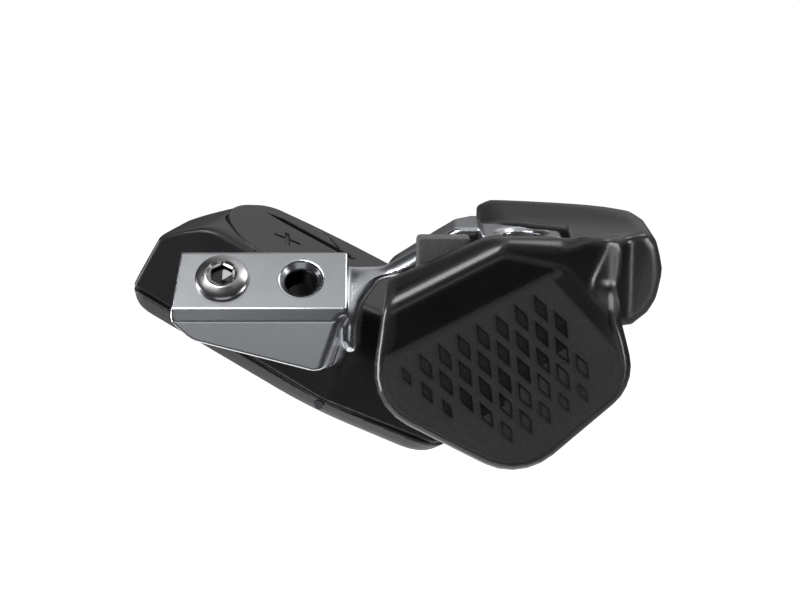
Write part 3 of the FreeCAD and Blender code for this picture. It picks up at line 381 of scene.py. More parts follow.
def revolved_piece(name: str, profile: Sequence[Spot], place: Placement, turns: int = 96,
                   radius: Optional[Distance] = None, shade: Optional[Distance] = None) -> bpy.types.Object:
    """Profile carried round the local third axis.

    Args:
        name: name of the piece.
        profile: radius and height of each ring, from the first pole to the last.
        place: local axes.
        turns: points round each ring.
        radius: changes a ring's radius by its angle and height, for hexagons and knurls.
        shade: share by which the surface is darkened, by radius, angle and height.

    Returns:
        The new object: point (r cos a, r sin a, h) for each angle a and each ring.
    """
    rings = np.asarray(profile, float)
    angle = np.linspace(0.0, 2.0 * np.pi, turns, endpoint=False)
    reach = np.broadcast_to(rings[:, :1], (len(rings), turns))
    height = np.broadcast_to(rings[:, 1:], (len(rings), turns))
    if radius:
        reach = radius(reach, angle[None, :], height)
    points = np.stack([reach * np.cos(angle), reach * np.sin(angle), height], axis=2).reshape(-1, 3)
    ring, turn = np.meshgrid(np.arange(len(rings) - 1), np.arange(turns), indexing="ij")
    ahead = (turn + 1) % turns
    faces = np.stack([ring * turns + turn, ring * turns + ahead, (ring + 1) * turns + ahead,
                      (ring + 1) * turns + turn], axis=2).reshape(-1, 4)
    masks = {Mask.SHADE: shade(reach, angle[None, :], height).reshape(-1)} if shade else None
    piece = add_mesh(name, place.to_frame(points), faces, masks)
    piece.data.set_sharp_from_angle(angle=math.radians(SHARP_ANGLE))
    return piece


# Finishes


def new_socket(group: bpy.types.NodeTree, name: str, output: bool, kind: str, value: float = 0.0) -> None:
    """Add one named socket to a node group, with its default where it is an input."""
    socket = group.interface.new_socket(name, in_out="OUTPUT" if output else "INPUT", socket_type=kind)
    if kind == "NodeSocketFloat" and not output:
        socket.default_value = value


class SurfaceGroups:
    """Shader node groups that several finishes share, each built once."""

    def __init__(self) -> None:
        """Build the groups."""
        self.grain = self.build_grain()
        self.tone = self.build_tone()

    @staticmethod
    def start(name: str) -> tuple[bpy.types.NodeTree, bpy.types.Node, bpy.types.Node]:
        """New group with its input and output nodes."""
        group = bpy.data.node_groups.new(name, "ShaderNodeTree")
        return group, group.nodes.new("NodeGroupInput"), group.nodes.new("NodeGroupOutput")

    def build_grain(self) -> bpy.types.NodeTree:
        """Moulded or blasted grain: two sizes of noise added, as a height and as a speckle value."""
        group, entry, result = self.start("surface_grain")
        new_socket(group, "Vector", False, "NodeSocketVector")
        new_socket(group, "Scale", False, "NodeSocketFloat", 6000.0)
        new_socket(group, "Height", True, "NodeSocketFloat")
        new_socket(group, "Speckle", True, "NodeSocketFloat")
        fine = group.nodes.new("ShaderNodeTexNoise")
        fine.inputs["Detail"].default_value = 3.0
        coarse = group.nodes.new("ShaderNodeTexVoronoi")
        coarse.feature = "SMOOTH_F1"
        total = group.nodes.new("ShaderNodeMath")
        total.operation = "ADD"
        links = group.links
        for texture in (fine, coarse):
            links.new(entry.outputs["Vector"], texture.inputs["Vector"])
            links.new(entry.outputs["Scale"], texture.inputs["Scale"])
        links.new(fine.outputs[0], total.inputs[0])
        links.new(coarse.outputs["Distance"], total.inputs[1])
        links.new(total.outputs[0], result.inputs["Height"])
        links.new(fine.outputs[0], result.inputs["Speckle"])
        return group

    def build_tone(self) -> bpy.types.NodeTree:
        """Slow change of tone over a surface, between 0 and 1."""
        group, entry, result = self.start("surface_tone")
        new_socket(group, "Vector", False, "NodeSocketVector")
        new_socket(group, "Scale", False, "NodeSocketFloat", 120.0)
        new_socket(group, "Tone", True, "NodeSocketFloat")
        cloud = group.nodes.new("ShaderNodeTexNoise")
        cloud.inputs["Detail"].default_value = 5.0
        group.links.new(entry.outputs["Vector"], cloud.inputs["Vector"])
        group.links.new(entry.outputs["Scale"], cloud.inputs["Scale"])
        group.links.new(cloud.outputs[0], result.inputs["Tone"])
        return group


@dataclass(frozen=True)
class Finish:
    """One finish: a Principled surface with grain, slow tone changes, polished edges and a painted highlight that
    lifts the colour of edges.
    """

    name: str
    color: tuple[float, float, float]
    light: tuple[float, float, float]
    roughness: float
    metallic: float = 0.0
    grain_scale: float = 6000.0
    grain_depth: float = 0.0
    grain_color: float = 0.0
    masked_grain: bool = False
    masked_roughness: float = 0.0
    roughness_spread: float = 0.08
    edge_roughness: float = 0.0
    # Share by which convex edges are lifted toward the light colour: a painted highlight, which on the aluminium
    # also stands for polished edge wear
    edge_wear_and_highlight: float = 0.0
    tone_share: float = 0.25
    specular: float = 0.5
    coat: float = 0.0

    def build(self, groups: SurfaceGroups) -> bpy.types.Material:
        """Make the material.

        Args:
            groups: shared node groups.

        Returns:
            A material whose colour runs from color to light with tone, speckle and a painted edge highlight, and
            darkens with painted shade, and whose roughness falls on edges, changes with tone and rises with masked
            grain.
        """
        material = bpy.data.materials.new(self.name)
        material.use_nodes = True
        tree = material.node_tree
        surface = tree.nodes["Principled BSDF"]
        surface.inputs["Metallic"].default_value = self.metallic
        surface.inputs["Specular IOR Level"].default_value = self.specular
        surface.inputs["Coat Weight"].default_value = self.coat
        place = tree.nodes.new("ShaderNodeTexCoord").outputs["Object"]
        grain = self.group_node(tree, groups.grain, place, self.grain_scale)
        tone = self.group_node(tree, groups.tone, place, None)
        edge = self.attribute(tree, Mask.EDGE)
        speckle = grain.outputs["Speckle"]
        amount = self.attribute(tree, Mask.GRAIN) if self.masked_grain else None
        if amount is not None:
            speckle = self.math(tree, "MULTIPLY", speckle, amount)
        share = self.math(tree, "MULTIPLY", speckle, self.grain_color)
        share = self.math(tree, "MULTIPLY_ADD", tone.outputs["Tone"], self.tone_share, share)
        # Painted highlight: the colour of convex edges is lifted toward the light colour by the edge mask
        share = self.math(tree, "MULTIPLY_ADD", edge, self.edge_wear_and_highlight, share)
        mix = tree.nodes.new("ShaderNodeMix")
        mix.data_type = "RGBA"
        mix.inputs[6].default_value = (*self.color, 1.0)
        mix.inputs[7].default_value = (*self.light, 1.0)
        tree.links.new(share, mix.inputs[0])
        shaded = tree.nodes.new("ShaderNodeMix")
        shaded.data_type = "RGBA"
        shaded.inputs[7].default_value = (*(SHADE_TONE,) * 3, 1.0)
        tree.links.new(self.attribute(tree, Mask.SHADE), shaded.inputs[0])
        tree.links.new(mix.outputs[2], shaded.inputs[6])
        tree.links.new(shaded.outputs[2], surface.inputs["Base Color"])
        rough = self.math(tree, "MULTIPLY_ADD", tone.outputs["Tone"], self.roughness_spread,
                          self.roughness - self.roughness_spread / 2.0)
        rough = self.math(tree, "MULTIPLY_ADD", edge, -self.edge_roughness, rough)
        if amount is not None:
            rough = self.math(tree, "MULTIPLY_ADD", amount, self.masked_roughness, rough)
        tree.links.new(rough, surface.inputs["Roughness"])
        if self.grain_depth:
            height = grain.outputs["Height"]
            if amount is not None:
                height = self.math(tree, "MULTIPLY", height, amount)
            bump = tree.nodes.new("ShaderNodeBump")
            bump.inputs["Distance"].default_value = self.grain_depth * MM
            tree.links.new(height, bump.inputs["Height"])
            tree.links.new(bump.outputs["Normal"], surface.inputs["Normal"])
        return material

    @staticmethod
    def group_node(tree: bpy.types.NodeTree, group: bpy.types.NodeTree, place: bpy.types.NodeSocket,
                   scale: Optional[float]) -> bpy.types.Node:
        """Place a shared group in a material, fed with the surface position."""
        node = tree.nodes.new("ShaderNodeGroup")
        node.node_tree = group
        tree.links.new(place, node.inputs["Vector"])
        if scale:
            node.inputs["Scale"].default_value = scale
        return node

    @staticmethod
    def attribute(tree: bpy.types.NodeTree, mask: Mask) -> bpy.types.NodeSocket:
        """Value of a point attribute."""
        node = tree.nodes.new("ShaderNodeAttribute")
        node.attribute_name = mask.value
        return node.outputs["Fac"]

    @staticmethod
    def math(tree: bpy.types.NodeTree, operation: str, *values: object) -> bpy.types.NodeSocket:
        """One math node, whose inputs are sockets or plain numbers."""
        node = tree.nodes.new("ShaderNodeMath")
        node.operation = operation
        for socket, value in zip(node.inputs, values):
            if isinstance(value, bpy.types.NodeSocket):
                tree.links.new(value, socket)
            else:
                socket.default_value = value
        return node.outputs[0]


class Finishes:
    """All finishes of the object, by the record's material slot."""

    # The edge lift of each finish is a painted highlight on convex edges; on the aluminium it also stands for
    # polished edge wear
    LIST = (
        Finish("blasted_aluminium", (0.36, 0.37, 0.39), (0.66, 0.68, 0.71), 0.29, 1.0, 9000.0, 0.004, 0.35,
               edge_roughness=0.14, edge_wear_and_highlight=0.8),
        Finish("stainless_steel", (0.40, 0.40, 0.41), (0.60, 0.60, 0.61), 0.25, 1.0, 5000.0, 0.0, 0.1),
        Finish("bearing_bronze", (0.46, 0.31, 0.14), (0.62, 0.45, 0.24), 0.42, 1.0, 9000.0, 0.004, 0.3),
        Finish("satin_black", (0.004, 0.004, 0.005), (0.13, 0.13, 0.133), 0.24, 0.0, 3600.0, 0.03, 0.4,
               masked_grain=True, masked_roughness=0.28, edge_wear_and_highlight=0.5, tone_share=0.05),
        Finish("textured_black", (0.05, 0.05, 0.05), (0.24, 0.24, 0.24), 0.6, 0.0, 3600.0, 0.05, 0.7),
        Finish("pod_black", (0.006, 0.006, 0.007), (0.03, 0.03, 0.032), 0.37, 0.0, 7000.0, 0.012, 0.35,
               edge_roughness=0.04, edge_wear_and_highlight=0.1),
        Finish("pod_grey", (0.018, 0.018, 0.019), (0.055, 0.055, 0.057), 0.42, 0.0, 7000.0, 0.008, 0.3,
               edge_roughness=0.06, edge_wear_and_highlight=0.4),
        Finish("black_rubber", (0.008, 0.008, 0.008), (0.02, 0.02, 0.02), 0.62, 0.0, 6000.0, 0.006, 0.3),
        Finish("switch_steel", (0.45, 0.45, 0.45), (0.7, 0.7, 0.7), 0.3, 1.0, 6000.0, 0.0, 0.2),
        Finish("board_green", (0.012, 0.08, 0.03), (0.03, 0.16, 0.07), 0.35, 0.0, 2500.0, 0.01, 0.5),
        Finish("cell_steel", (0.55, 0.55, 0.54), (0.78, 0.78, 0.77), 0.16, 1.0, 6000.0, 0.0, 0.1),
        Finish("contact_nickel", (0.5, 0.47, 0.4), (0.75, 0.72, 0.65), 0.25, 1.0, 6000.0, 0.0, 0.15),
        Finish("clear_lens", (0.10, 0.11, 0.12), (0.30, 0.31, 0.32), 0.08, 0.0, 6000.0, 0.0, 0.05, coat=0.6),
    )

    def __init__(self) -> None:
        """Build every material once."""
        groups = SurfaceGroups()
        self.materials = {finish.name: finish.build(groups) for finish in self.LIST}

    def dress(self, piece: bpy.types.Object, slot: str) -> None:
        """Give a piece one finish."""
        piece.data.materials.clear()
        piece.data.materials.append(self.materials[slot])


@dataclass
class Workshop:
    """What every sub-assembly needs: the finishes, and fitting to a body with a line in the log."""

    finishes: Finishes

    def fit(self, piece: bpy.types.Object, body: Body, slot: str, *nodes: str) -> bpy.types.Object:
        """Dress a piece, make it ride on its body and let it stand for solids of the frame.

        Args:
            piece: new object.
            body: body that it moves with.
            slot: material slot of the record.
            nodes: solids that it stands for.

        Returns:
            The same object.
        """
        self.finishes.dress(piece, slot)
        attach(piece, body.value)
        if nodes:
            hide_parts(*nodes)
        LOG.info("%s: %d faces on %s", piece.name, len(piece.data.polygons), body.value)
        return piece


# Thumb rocker


@dataclass
class ThumbRocker:
    """Moulded rocker: browed thumb paddle, waisted neck, finger wing and the web under the boss.

    Pairs such as rim, ridge and crease are a distance below the brow's base line and a depth there.
    """

    grid: FieldGrid = FieldGrid((10.0, -9.5, -38.5), (70.5, 31.0, 15.0), 0.4)
    back: float = 5.0
    tilt: float = 8.0
    outline: tuple[Spot, ...] = ((16.0, 1.2), (12.4, -22.0), (40.6, -36.1), (61.7, -18.2), (58.7, -6.1),
                                 (58.7, 6.0), (55.7, 8.9), (34.4, 9.2))
    outline_radii: tuple[float, ...] = (2.5, 11.0, 11.5, 9.0, 5.0, 2.0, 1.5, 9.0)
    brow_angle: float = 27.0
    rim: Spot = (6.4, -2.6)
    ridge: Spot = (10.6, -7.3)
    ridge_round: float = 2.6
    crease: Spot = (18.7, -3.9)
    crease_round: float = 0.6
    face_fall: float = 0.06
    dish: float = 0.5
    dish_run: float = 26.0
    fold_spot: Spot = (37.1, -26.7)
    fold_way: Spot = (0.667, -0.745)
    fold_slope: float = 0.2
    fold_round: float = 4.0
    flank_angle: float = 47.5
    flank: Spot = (34.8, -5.2)
    flank_slope: float = 0.47
    flank_round: float = 0.4
    lip: float = 0.45
    lip_sides: Spot = (-2.6, -1.2)
    lip_drops: Spot = (17.0, 24.0)
    brow_round: float = 1.8
    rim_round: float = 3.0
    round_drops: Spot = (8.0, 16.0)
    front_scale: float = 0.92
    back_round: float = 1.2
    wing_plan: tuple[Spot, ...] = ((48.0, -5.0), (56.5, -5.0), (60.6, -1.4), (66.6, 0.8), (68.0, 5.6),
                                   (66.6, 9.2), (62.0, 12.0), (54.0, 16.2), (36.0, 24.6), (33.2, 24.6),
                                   (33.2, 16.4), (48.0, 7.0))
    wing_radii: tuple[float, ...] = (0.5, 1.5, 5.0, 3.0, 3.0, 3.0, 2.0, 2.0, 0.5, 0.5, 0.5, 0.5)
    wing_front: tuple[Spot, ...] = ((30.0, -3.55), (49.0, -3.55), (55.5, -8.8), (61.4, -8.8), (64.4, -6.7),
                                    (66.2, -4.2), (67.7, -0.7), (68.0, 1.0), (66.2, 6.2), (64.0, 9.4),
                                    (61.5, 11.0), (57.0, 11.8), (30.0, 14.0))
    wing_round: float = 2.0
    wing_roof: Plane = Plane((38.2, 14.8, 8.14), (-0.20, -0.33, 1.0), 0.93)
    neck_roof: Plane = Plane((0.0, -4.0, 8.2), (0.0, 0.10, 1.0))
    roof_blend: float = 3.0
    roof_round: float = 1.4
    wing_end: Plane = Plane((35.8, 24.0, 10.7), (-0.5, -0.371, 0.866), 0.937)
    end_round: float = 0.5
    web_levels: Spot = (-3.55, -0.45)
    bridge_x: Spot = (33.2, 51.0)
    bridge_y: Spot = (-5.6, 17.0)
    tail_x: Spot = (22.0, 34.0)
    tail_y: Spot = (3.0, 7.8)
    tail_round: float = 0.6
    web_round: float = 0.4
    scoop_spot: Spot = (52.0, -0.3)
    scoop_way: Spot = (0.685, 0.729)
    scoop_axis: Spot = (61.8, -14.0)
    scoop_radius: float = 10.5
    scoop_rise: float = 0.8
    scoop_scale: float = 0.78
    scoop_blend: float = 1.5
    boss_right: float = 49.8
    boss_way: Spot = (0.53, 0.848)
    boss_reach: float = 32.8
    neck_blend: float = 3.0
    cut_round: float = 0.5
    grain_crease: Spot = (-0.6, 1.0)
    grain_flank: Spot = (-0.6, 0.4)
    grain_margin: Spot = (1.4, 2.4)
    grain_front: float = -1.5
    wing_grain: float = 0.4
    wing_depths: Spot = (3.6, 5.4)
    pad_rows: int = 5
    pad_columns: int = 7
    pad_pitch: float = 3.9
    pad_drop: float = 23.4
    row_pitch: float = 4.3
    pad_middle: Spot = (32.0, -15.0)
    pad_half: Spot = (1.15, 2.9)
    pad_margin: float = 5.4
    pad_flank: float = 4.2
    pad_least: float = 0.6
    pad_margins: Spot = (4.0, 10.0)
    pad_rings: tuple[Spot, ...] = ((1.0, -0.15), (1.0, 0.1), (0.94, 0.3), (0.84, 0.3), (0.72, 0.0),
                                   (0.0, 0.0))

    def axes(self) -> Placement:
        """Local axes: X, the paddle's depth towards the rear, and up along its tilted face."""
        c, s = turn(self.tilt)
        return Placement((0.0, -self.back, 0.0), ((1, 0, 0), (0, c, -s), (0, s, c)))

    def side(self, x: Array, z: Array) -> Array:
        """Distance outside the paddle's outline, negative inside."""
        return outline_distance(rounded_outline(self.outline, self.outline_radii), x, z)

    def below_brow(self, x: Array, z: Array) -> Array:
        """Distance below the brow's base line, square to it."""
        c, s = turn(self.brow_angle)
        return x * s - z * c

    def past_flank(self, x: Array, z: Array) -> Array:
        """Distance past the flank's upper edge, along the direction in which the flank falls away."""
        c, s = turn(self.flank_angle)
        return x * s + z * c - self.flank[0]

    @staticmethod
    def slope(drop: Array, first: Spot, second: Spot) -> Array:
        """Depth on the straight slope through two pairs of drop and depth."""
        return first[1] + (drop - first[0]) * (second[1] - first[1]) / (second[0] - first[0])

    def front_level(self, x: Array, z: Array, side: Array) -> Array:
        """Depth of the paddle's front surface.

        Args:
            x: local X.
            z: local height.
            side: distance outside the paddle's outline.

        Returns:
            The upper slope, meeting the sunk band at the ridge; the dished and folded face, which the
            band joins in a valley at the crease; the flank falling away on the right; and a low lip
            along the outline.
        """
        drop = self.below_brow(x, z)
        upper = self.slope(drop, self.rim, self.ridge)
        band = self.slope(drop, self.ridge, self.crease)
        away = drop - self.crease[0]
        dish = self.dish * np.sin(np.clip(away / self.dish_run, 0.0, 1.0) * np.pi)
        fold = smooth_max(travel(self.fold_spot, self.fold_way, x, z), 0.0, self.fold_round)
        face = self.crease[1] - self.face_fall * away + dish + self.fold_slope * fold
        front = smooth_max(upper, smooth_min(band, face, self.crease_round), self.ridge_round)
        flank = self.flank[1] + self.past_flank(x, z) * self.flank_slope
        front = smooth_max(front, flank, self.flank_round)
        return front - self.lip * smooth_step(side, *self.lip_sides) * smooth_step(drop, *self.lip_drops)

    def paddle(self, x: Array, y: Array, z: Array) -> Array:
        """Field of the thumb paddle: inside its outline, behind its front surface, before its back."""
        side = self.side(x, z)
        front = (self.front_level(x, z, side) - y) * self.front_scale
        low = smooth_step(self.below_brow(x, z), *self.round_drops)
        solid = smooth_max(side, front, self.brow_round + (self.rim_round - self.brow_round) * low)
        return smooth_max(solid, y, self.back_round)

    def wing(self, x: Array, y: Array, z: Array) -> Array:
        """Field of the neck and finger wing, in frame axes: plan outline, front outline, roof and end."""
        plan = outline_distance(rounded_outline(self.wing_plan, self.wing_radii), x, y)
        front = outline_distance(self.wing_front, x, z)
        roof = smooth_min(self.wing_roof.distance(x, y, z), self.neck_roof.distance(x, y, z), self.roof_blend)
        solid = smooth_max(smooth_max(plan, front, self.wing_round), roof, self.roof_round)
        return smooth_max(solid, self.wing_end.distance(x, y, z), self.end_round)

    def web(self, x: Array, y: Array, z: Array) -> Array:
        """Field of the web under the boss and the tail between the switches."""
        bridge = np.maximum(box_distance(x, *self.bridge_x), box_distance(y, *self.bridge_y))
        tail = np.maximum(box_distance(x, *self.tail_x), box_distance(y, *self.tail_y))
        plan = smooth_min(bridge, tail, self.tail_round)
        return smooth_max(plan, box_distance(z, *self.web_levels), self.web_round)

    def scoop(self, x: Array, y: Array, z: Array, rear: Array) -> Array:
        """Field that the neck's hollow leaves standing.

        Args:
            x: local X.
            y: local depth.
            z: local height.
            rear: depth in the frame.

        Returns:
            The smaller of an upright round wall and of a slope that falls from the hollow's lower rim,
            so that both bound the cut.
        """
        cheek = self.scoop_radius - np.hypot(x - self.scoop_axis[0], rear - self.scoop_axis[1])
        above = travel(self.scoop_spot, self.scoop_way, x, z)
        floor = self.front_level(x, z, self.side(x, z)) + self.scoop_rise * above - y
        return smooth_min(cheek, floor * self.scoop_scale, self.scoop_blend)

    def distance(self, x: Array, y: Array, z: Array) -> Array:
        """Field of the whole rocker: the paddle and wing grown together, less the scoop and the boss."""
        c, s = turn(self.tilt)
        rear = y * c + z * s - self.back
        high = z * c - y * s
        solid = smooth_min(self.paddle(x, y, z), self.wing(x, rear, high), self.neck_blend)
        solid = smooth_max(solid, self.scoop(x, y, z, rear), self.cut_round)
        solid = smooth_min(solid, self.web(x, rear, high), self.cut_round)
        edge = travel((0.0, 0.0), self.boss_way, x, rear) - self.boss_reach
        boss = np.maximum(np.maximum(-y, edge), np.maximum(x - self.boss_right, self.web_levels[1] - high))
        return smooth_max(solid, -boss, self.cut_round)

    def grain(self, x: Array, y: Array, z: Array) -> Array:
        """Share of spark grain: full on the thumb face, light on the wing, none on brow, flank and rim."""
        face = smooth_step(self.below_brow(x, z) - self.crease[0], *self.grain_crease)
        flank = 1.0 - smooth_step(self.past_flank(x, z), *self.grain_flank)
        inside = smooth_step(-self.side(x, z), *self.grain_margin)
        thumb = face * flank * inside * (y < self.grain_front)
        return np.maximum(thumb, self.wing_grain * smooth_step(y, *self.wing_depths))

    def pads(self) -> tuple[Array, Array]:
        """Slim lozenges in staggered rows on the thumb face, each a thin raised rim round a smooth floor.

        Returns:
            Points in local axes and their faces. Each lozenge has rings from its foot over the rim to a
            middle point, set at the face's own depth.
        """
        c, s = turn(self.brow_angle)
        along, down = np.array([c, s]), np.array([s, -c])
        columns = np.arange(-self.pad_columns, self.pad_columns + 1)
        row, column = np.meshgrid(np.arange(self.pad_rows), columns, indexing="ij")
        run = np.array(self.pad_middle) @ along + column * self.pad_pitch + (row % 2) * self.pad_pitch / 2.0
        drop = self.pad_drop + row * self.row_pitch
        middle = (run[..., None] * along + drop[..., None] * down).reshape(-1, 2)
        margin = -self.side(*middle.T)
        keep = (margin > self.pad_margin) & (self.past_flank(*middle.T) < -self.pad_flank)
        middle, margin = middle[keep], margin[keep]
        size = self.pad_least + (1.0 - self.pad_least) * smooth_step(margin, *self.pad_margins)
        wide, tall = self.pad_half
        shape = np.array([(wide, 0.0), (0.0, tall), (-wide, 0.0), (0.0, -tall)])
        flat = shape[:, :1] * along + shape[:, 1:] * down
        rings = []
        for scale, proud in self.pad_rings:
            spots = middle[:, None] + scale * size[:, None, None] * flat[None]
            x, z = spots[..., 0], spots[..., 1]
            rings.append(np.stack([x, self.front_level(x, z, self.side(x, z)) - proud, z], axis=2))
        count = len(shape)
        pad, ring, corner = np.meshgrid(np.arange(len(middle)), np.arange(len(rings) - 1), np.arange(count),
                                        indexing="ij")
        start = (pad * len(rings) + ring) * count
        ahead = (corner + 1) % count
        faces = np.stack([start + corner, start + ahead, start + count + ahead, start + count + corner],
                         axis=3)
        return np.stack(rings, axis=1).reshape(-1, 3), faces.reshape(-1, 4)

    def build(self, shop: Workshop) -> None:
        """Make the rocker's body and its grip pads."""
        place = self.axes()
        body = field_piece("thumb_rocker", self.distance, self.grid, place, self.grain)
        shop.fit(body, Body.ROCKER, "satin_black", "rocker_paddle")
        points, faces = self.pads()
        pads = add_mesh("grip_pads", place.to_frame(points), faces[:, ::-1])
        pads.data.shade_flat()
        shop.fit(pads, Body.ROCKER, "satin_black")


# Clamp bracket


@dataclass
class ClampBracket:
    """Machined bracket: tilted plate, bevel, skirt with a swept end, gooseneck arm and pivot boss."""

    grid: FieldGrid = FieldGrid((-25.0, -6.8, -17.2), (49.6, 15.6, 10.4), 0.27)
    face_tilt: float = 43.0
    left: float = -24.0
    right: float = 8.7
    skirt_front: float = -5.754
    end_draft: float = 0.126
    end_round: float = 0.45
    hole_radius: float = 3.0
    hole_chamfer: float = 1.1
    hole_spacing: float = 14.6
    hole_depth: float = 8.0
    hole_edge: float = 0.12
    shade_gap: float = 0.15
    shade_run: float = 0.6
    section: tuple[Spot, ...] = ((-4.754, -4.433), (4.388, 4.092), (8.48, -0.296), (-2.354, -10.4),
                                 (-2.354, -16.23), (-5.754, -16.23), (-5.754, -6.733))
    section_round: float = 0.5
    face_outline: tuple[Spot, ...] = ((-24.6, 8.0), (-24.0, -6.7), (-20.0, -10.4), (2.2, -16.2), (8.7, -16.2),
                                      (8.7, 8.0))
    face_radii: tuple[float, ...] = (0.5, 4.0, 5.0, 3.0, 2.5, 0.5)
    lug: Block = Block((-5.3, -3.5, -16.2), (8.7, 20.0, -9.3))
    pod_plane: Plane = Plane((-3.6, 24.0, 2.7), (0.080, 0.983, 0.164))
    pod_reach: float = 19.5
    swept: Plane = Plane((6.9, -5.754, -7.5), (0.80, -0.54, -0.27))
    swept_top: float = -6.3
    swept_blend: float = 0.8
    swept_round: float = 1.2
    arm_outline: tuple[Spot, ...] = ((7.0, 1.6), (15.5, 1.6), (28.6, 9.3), (33.0, 9.3), (34.0, 7.8),
                                     (48.6, 7.8), (48.6, 0.0), (20.5, 0.0), (14.6, -1.0), (11.5, -5.0),
                                     (10.9, -13.4), (8.2, -13.4), (7.0, -11.0))
    arm_radii: tuple[float, ...] = (0.3, 6.0, 1.6, 0.8, 0.6, 0.4, 0.4, 1.5, 2.4, 3.0, 1.3, 1.3, 0.3)
    arm_plan: tuple[Spot, ...] = ((7.0, -5.5), (10.4, -5.1), (11.8, -2.9), (15.0, 1.0), (33.0, 1.0),
                                  (35.5, -0.2), (48.6, -0.2), (48.6, 6.9), (36.3, 14.6), (31.5, 14.6),
                                  (28.0, 11.0), (15.5, 11.0), (15.5, 6.5), (7.0, 6.5))
    arm_plan_radii: tuple[float, ...] = (0.3, 0.8, 3.0, 3.5, 1.0, 1.0, 1.2, 1.0, 1.0, 1.0, 1.0, 1.2, 1.5, 0.3)
    root_scale: float = 0.95
    root_drop: float = 0.7
    root_rise: float = 0.1
    root_end: float = 18.0
    root_round: float = 2.0
    climb_slope: float = 0.5
    climb_round: float = 5.0
    boss_round: float = 1.2
    neck_round: float = 2.2
    neck_span: Spot = (15.0, 27.0)
    arm_blend: float = 0.8
    boss_top: float = 7.8
    mouth_chamfer: float = 0.8
    mouth_depth: float = 0.5
    pivot: Spot = (41.1, 5.4)
    counterbore: float = 4.2
    counterbore_floor: float = 3.9
    pin_bore: float = 3.24
    bore_edge: float = 0.25

    def on_face(self, y: Array, z: Array) -> tuple[Array, Array]:
        """Distances up along the tilted face and out of it."""
        c, s = turn(self.face_tilt)
        return y * c + z * s, z * c - y * s

    def plate(self, x: Array, y: Array, z: Array) -> Array:
        """Field of the plate and skirt between drafted ends, with the pod's lug, less the swept end."""
        section = outline_distance(self.section, y, z)
        face = outline_distance(rounded_outline(self.face_outline, self.face_radii), x, z)
        ends = np.maximum(travel((self.left, self.skirt_front), (-1.0, self.end_draft), x, y), x - self.right)
        solid = smooth_max(smooth_max(section, face, self.section_round), ends, self.end_round)
        pod_side = self.pod_plane.distance(x, y, z) + self.pod_reach
        lug = np.maximum(np.maximum(self.lug.distance(x, y, z), pod_side), face)
        swept = smooth_min(self.swept.distance(x, y, z), self.swept_top - z, self.swept_blend)
        return smooth_max(np.minimum(solid, lug), swept, self.swept_round)

    def arm(self, x: Array, y: Array, z: Array) -> Array:
        """Field of the gooseneck arm and boss: side and plan outlines below the root's rising plane."""
        profile = outline_distance(rounded_outline(self.arm_outline, self.arm_radii), x, z)
        plan = outline_distance(rounded_outline(self.arm_plan, self.arm_plan_radii), x, y)
        height = self.on_face(y, z)[1]
        rise = self.root_rise * (x - self.right)
        climb = self.climb_slope * smooth_max(x - self.root_end, 0.0, self.climb_round)
        root = self.root_scale * (height + self.root_drop) - rise - climb
        soft = self.boss_round + self.neck_round * (1.0 - smooth_step(x, *self.neck_span))
        return smooth_max(smooth_max(profile, plan, soft), root, self.root_round)

    def distance(self, x: Array, y: Array, z: Array) -> Array:
        """Field of the bracket: the plate and arm grown together, less the clamp holes and the bore."""
        solid = smooth_min(self.plate(x, y, z), self.arm(x, y, z), self.arm_blend)
        along, height = self.on_face(y, z)
        for centre in (0.0, -self.hole_spacing):
            reach = np.sqrt((x - centre) ** 2 + along ** 2)
            chamfer = (reach - self.hole_radius - self.hole_chamfer - height) * BEVEL
            tool = np.minimum(reach - self.hole_radius, chamfer)
            solid = smooth_max(solid, np.where(height > -self.hole_depth, -tool, -FAR), self.hole_edge)
        reach = np.sqrt((x - self.pivot[0]) ** 2 + (y - self.pivot[1]) ** 2)
        wide = np.maximum(reach - self.counterbore, self.counterbore_floor - z)
        mouth = (reach - self.counterbore - self.mouth_chamfer - z + self.boss_top) * BEVEL
        wide = np.minimum(wide, np.where(z > self.counterbore_floor + self.mouth_depth, mouth, FAR))
        return smooth_max(solid, -np.minimum(wide, reach - self.pin_bore), self.bore_edge)

    def bore_shade(self, x: Array, y: Array, z: Array) -> Array:
        """Share of darkening down the clamp holes, which see little light."""
        along, height = self.on_face(y, z)
        reach = np.minimum(np.hypot(x, along), np.hypot(x + self.hole_spacing, along))
        deep = smooth_step(-height, self.hole_chamfer, self.hole_chamfer + self.shade_run)
        return (reach < self.hole_radius + self.shade_gap) * deep

    def build(self, shop: Workshop) -> None:
        """Make the bracket."""
        piece = field_piece("bracket", self.distance, self.grid, Placement(), shade=self.bore_shade)
        shop.fit(piece, Body.BASE, "blasted_aluminium", "clamp_bracket")


# Clamp bolt and washer


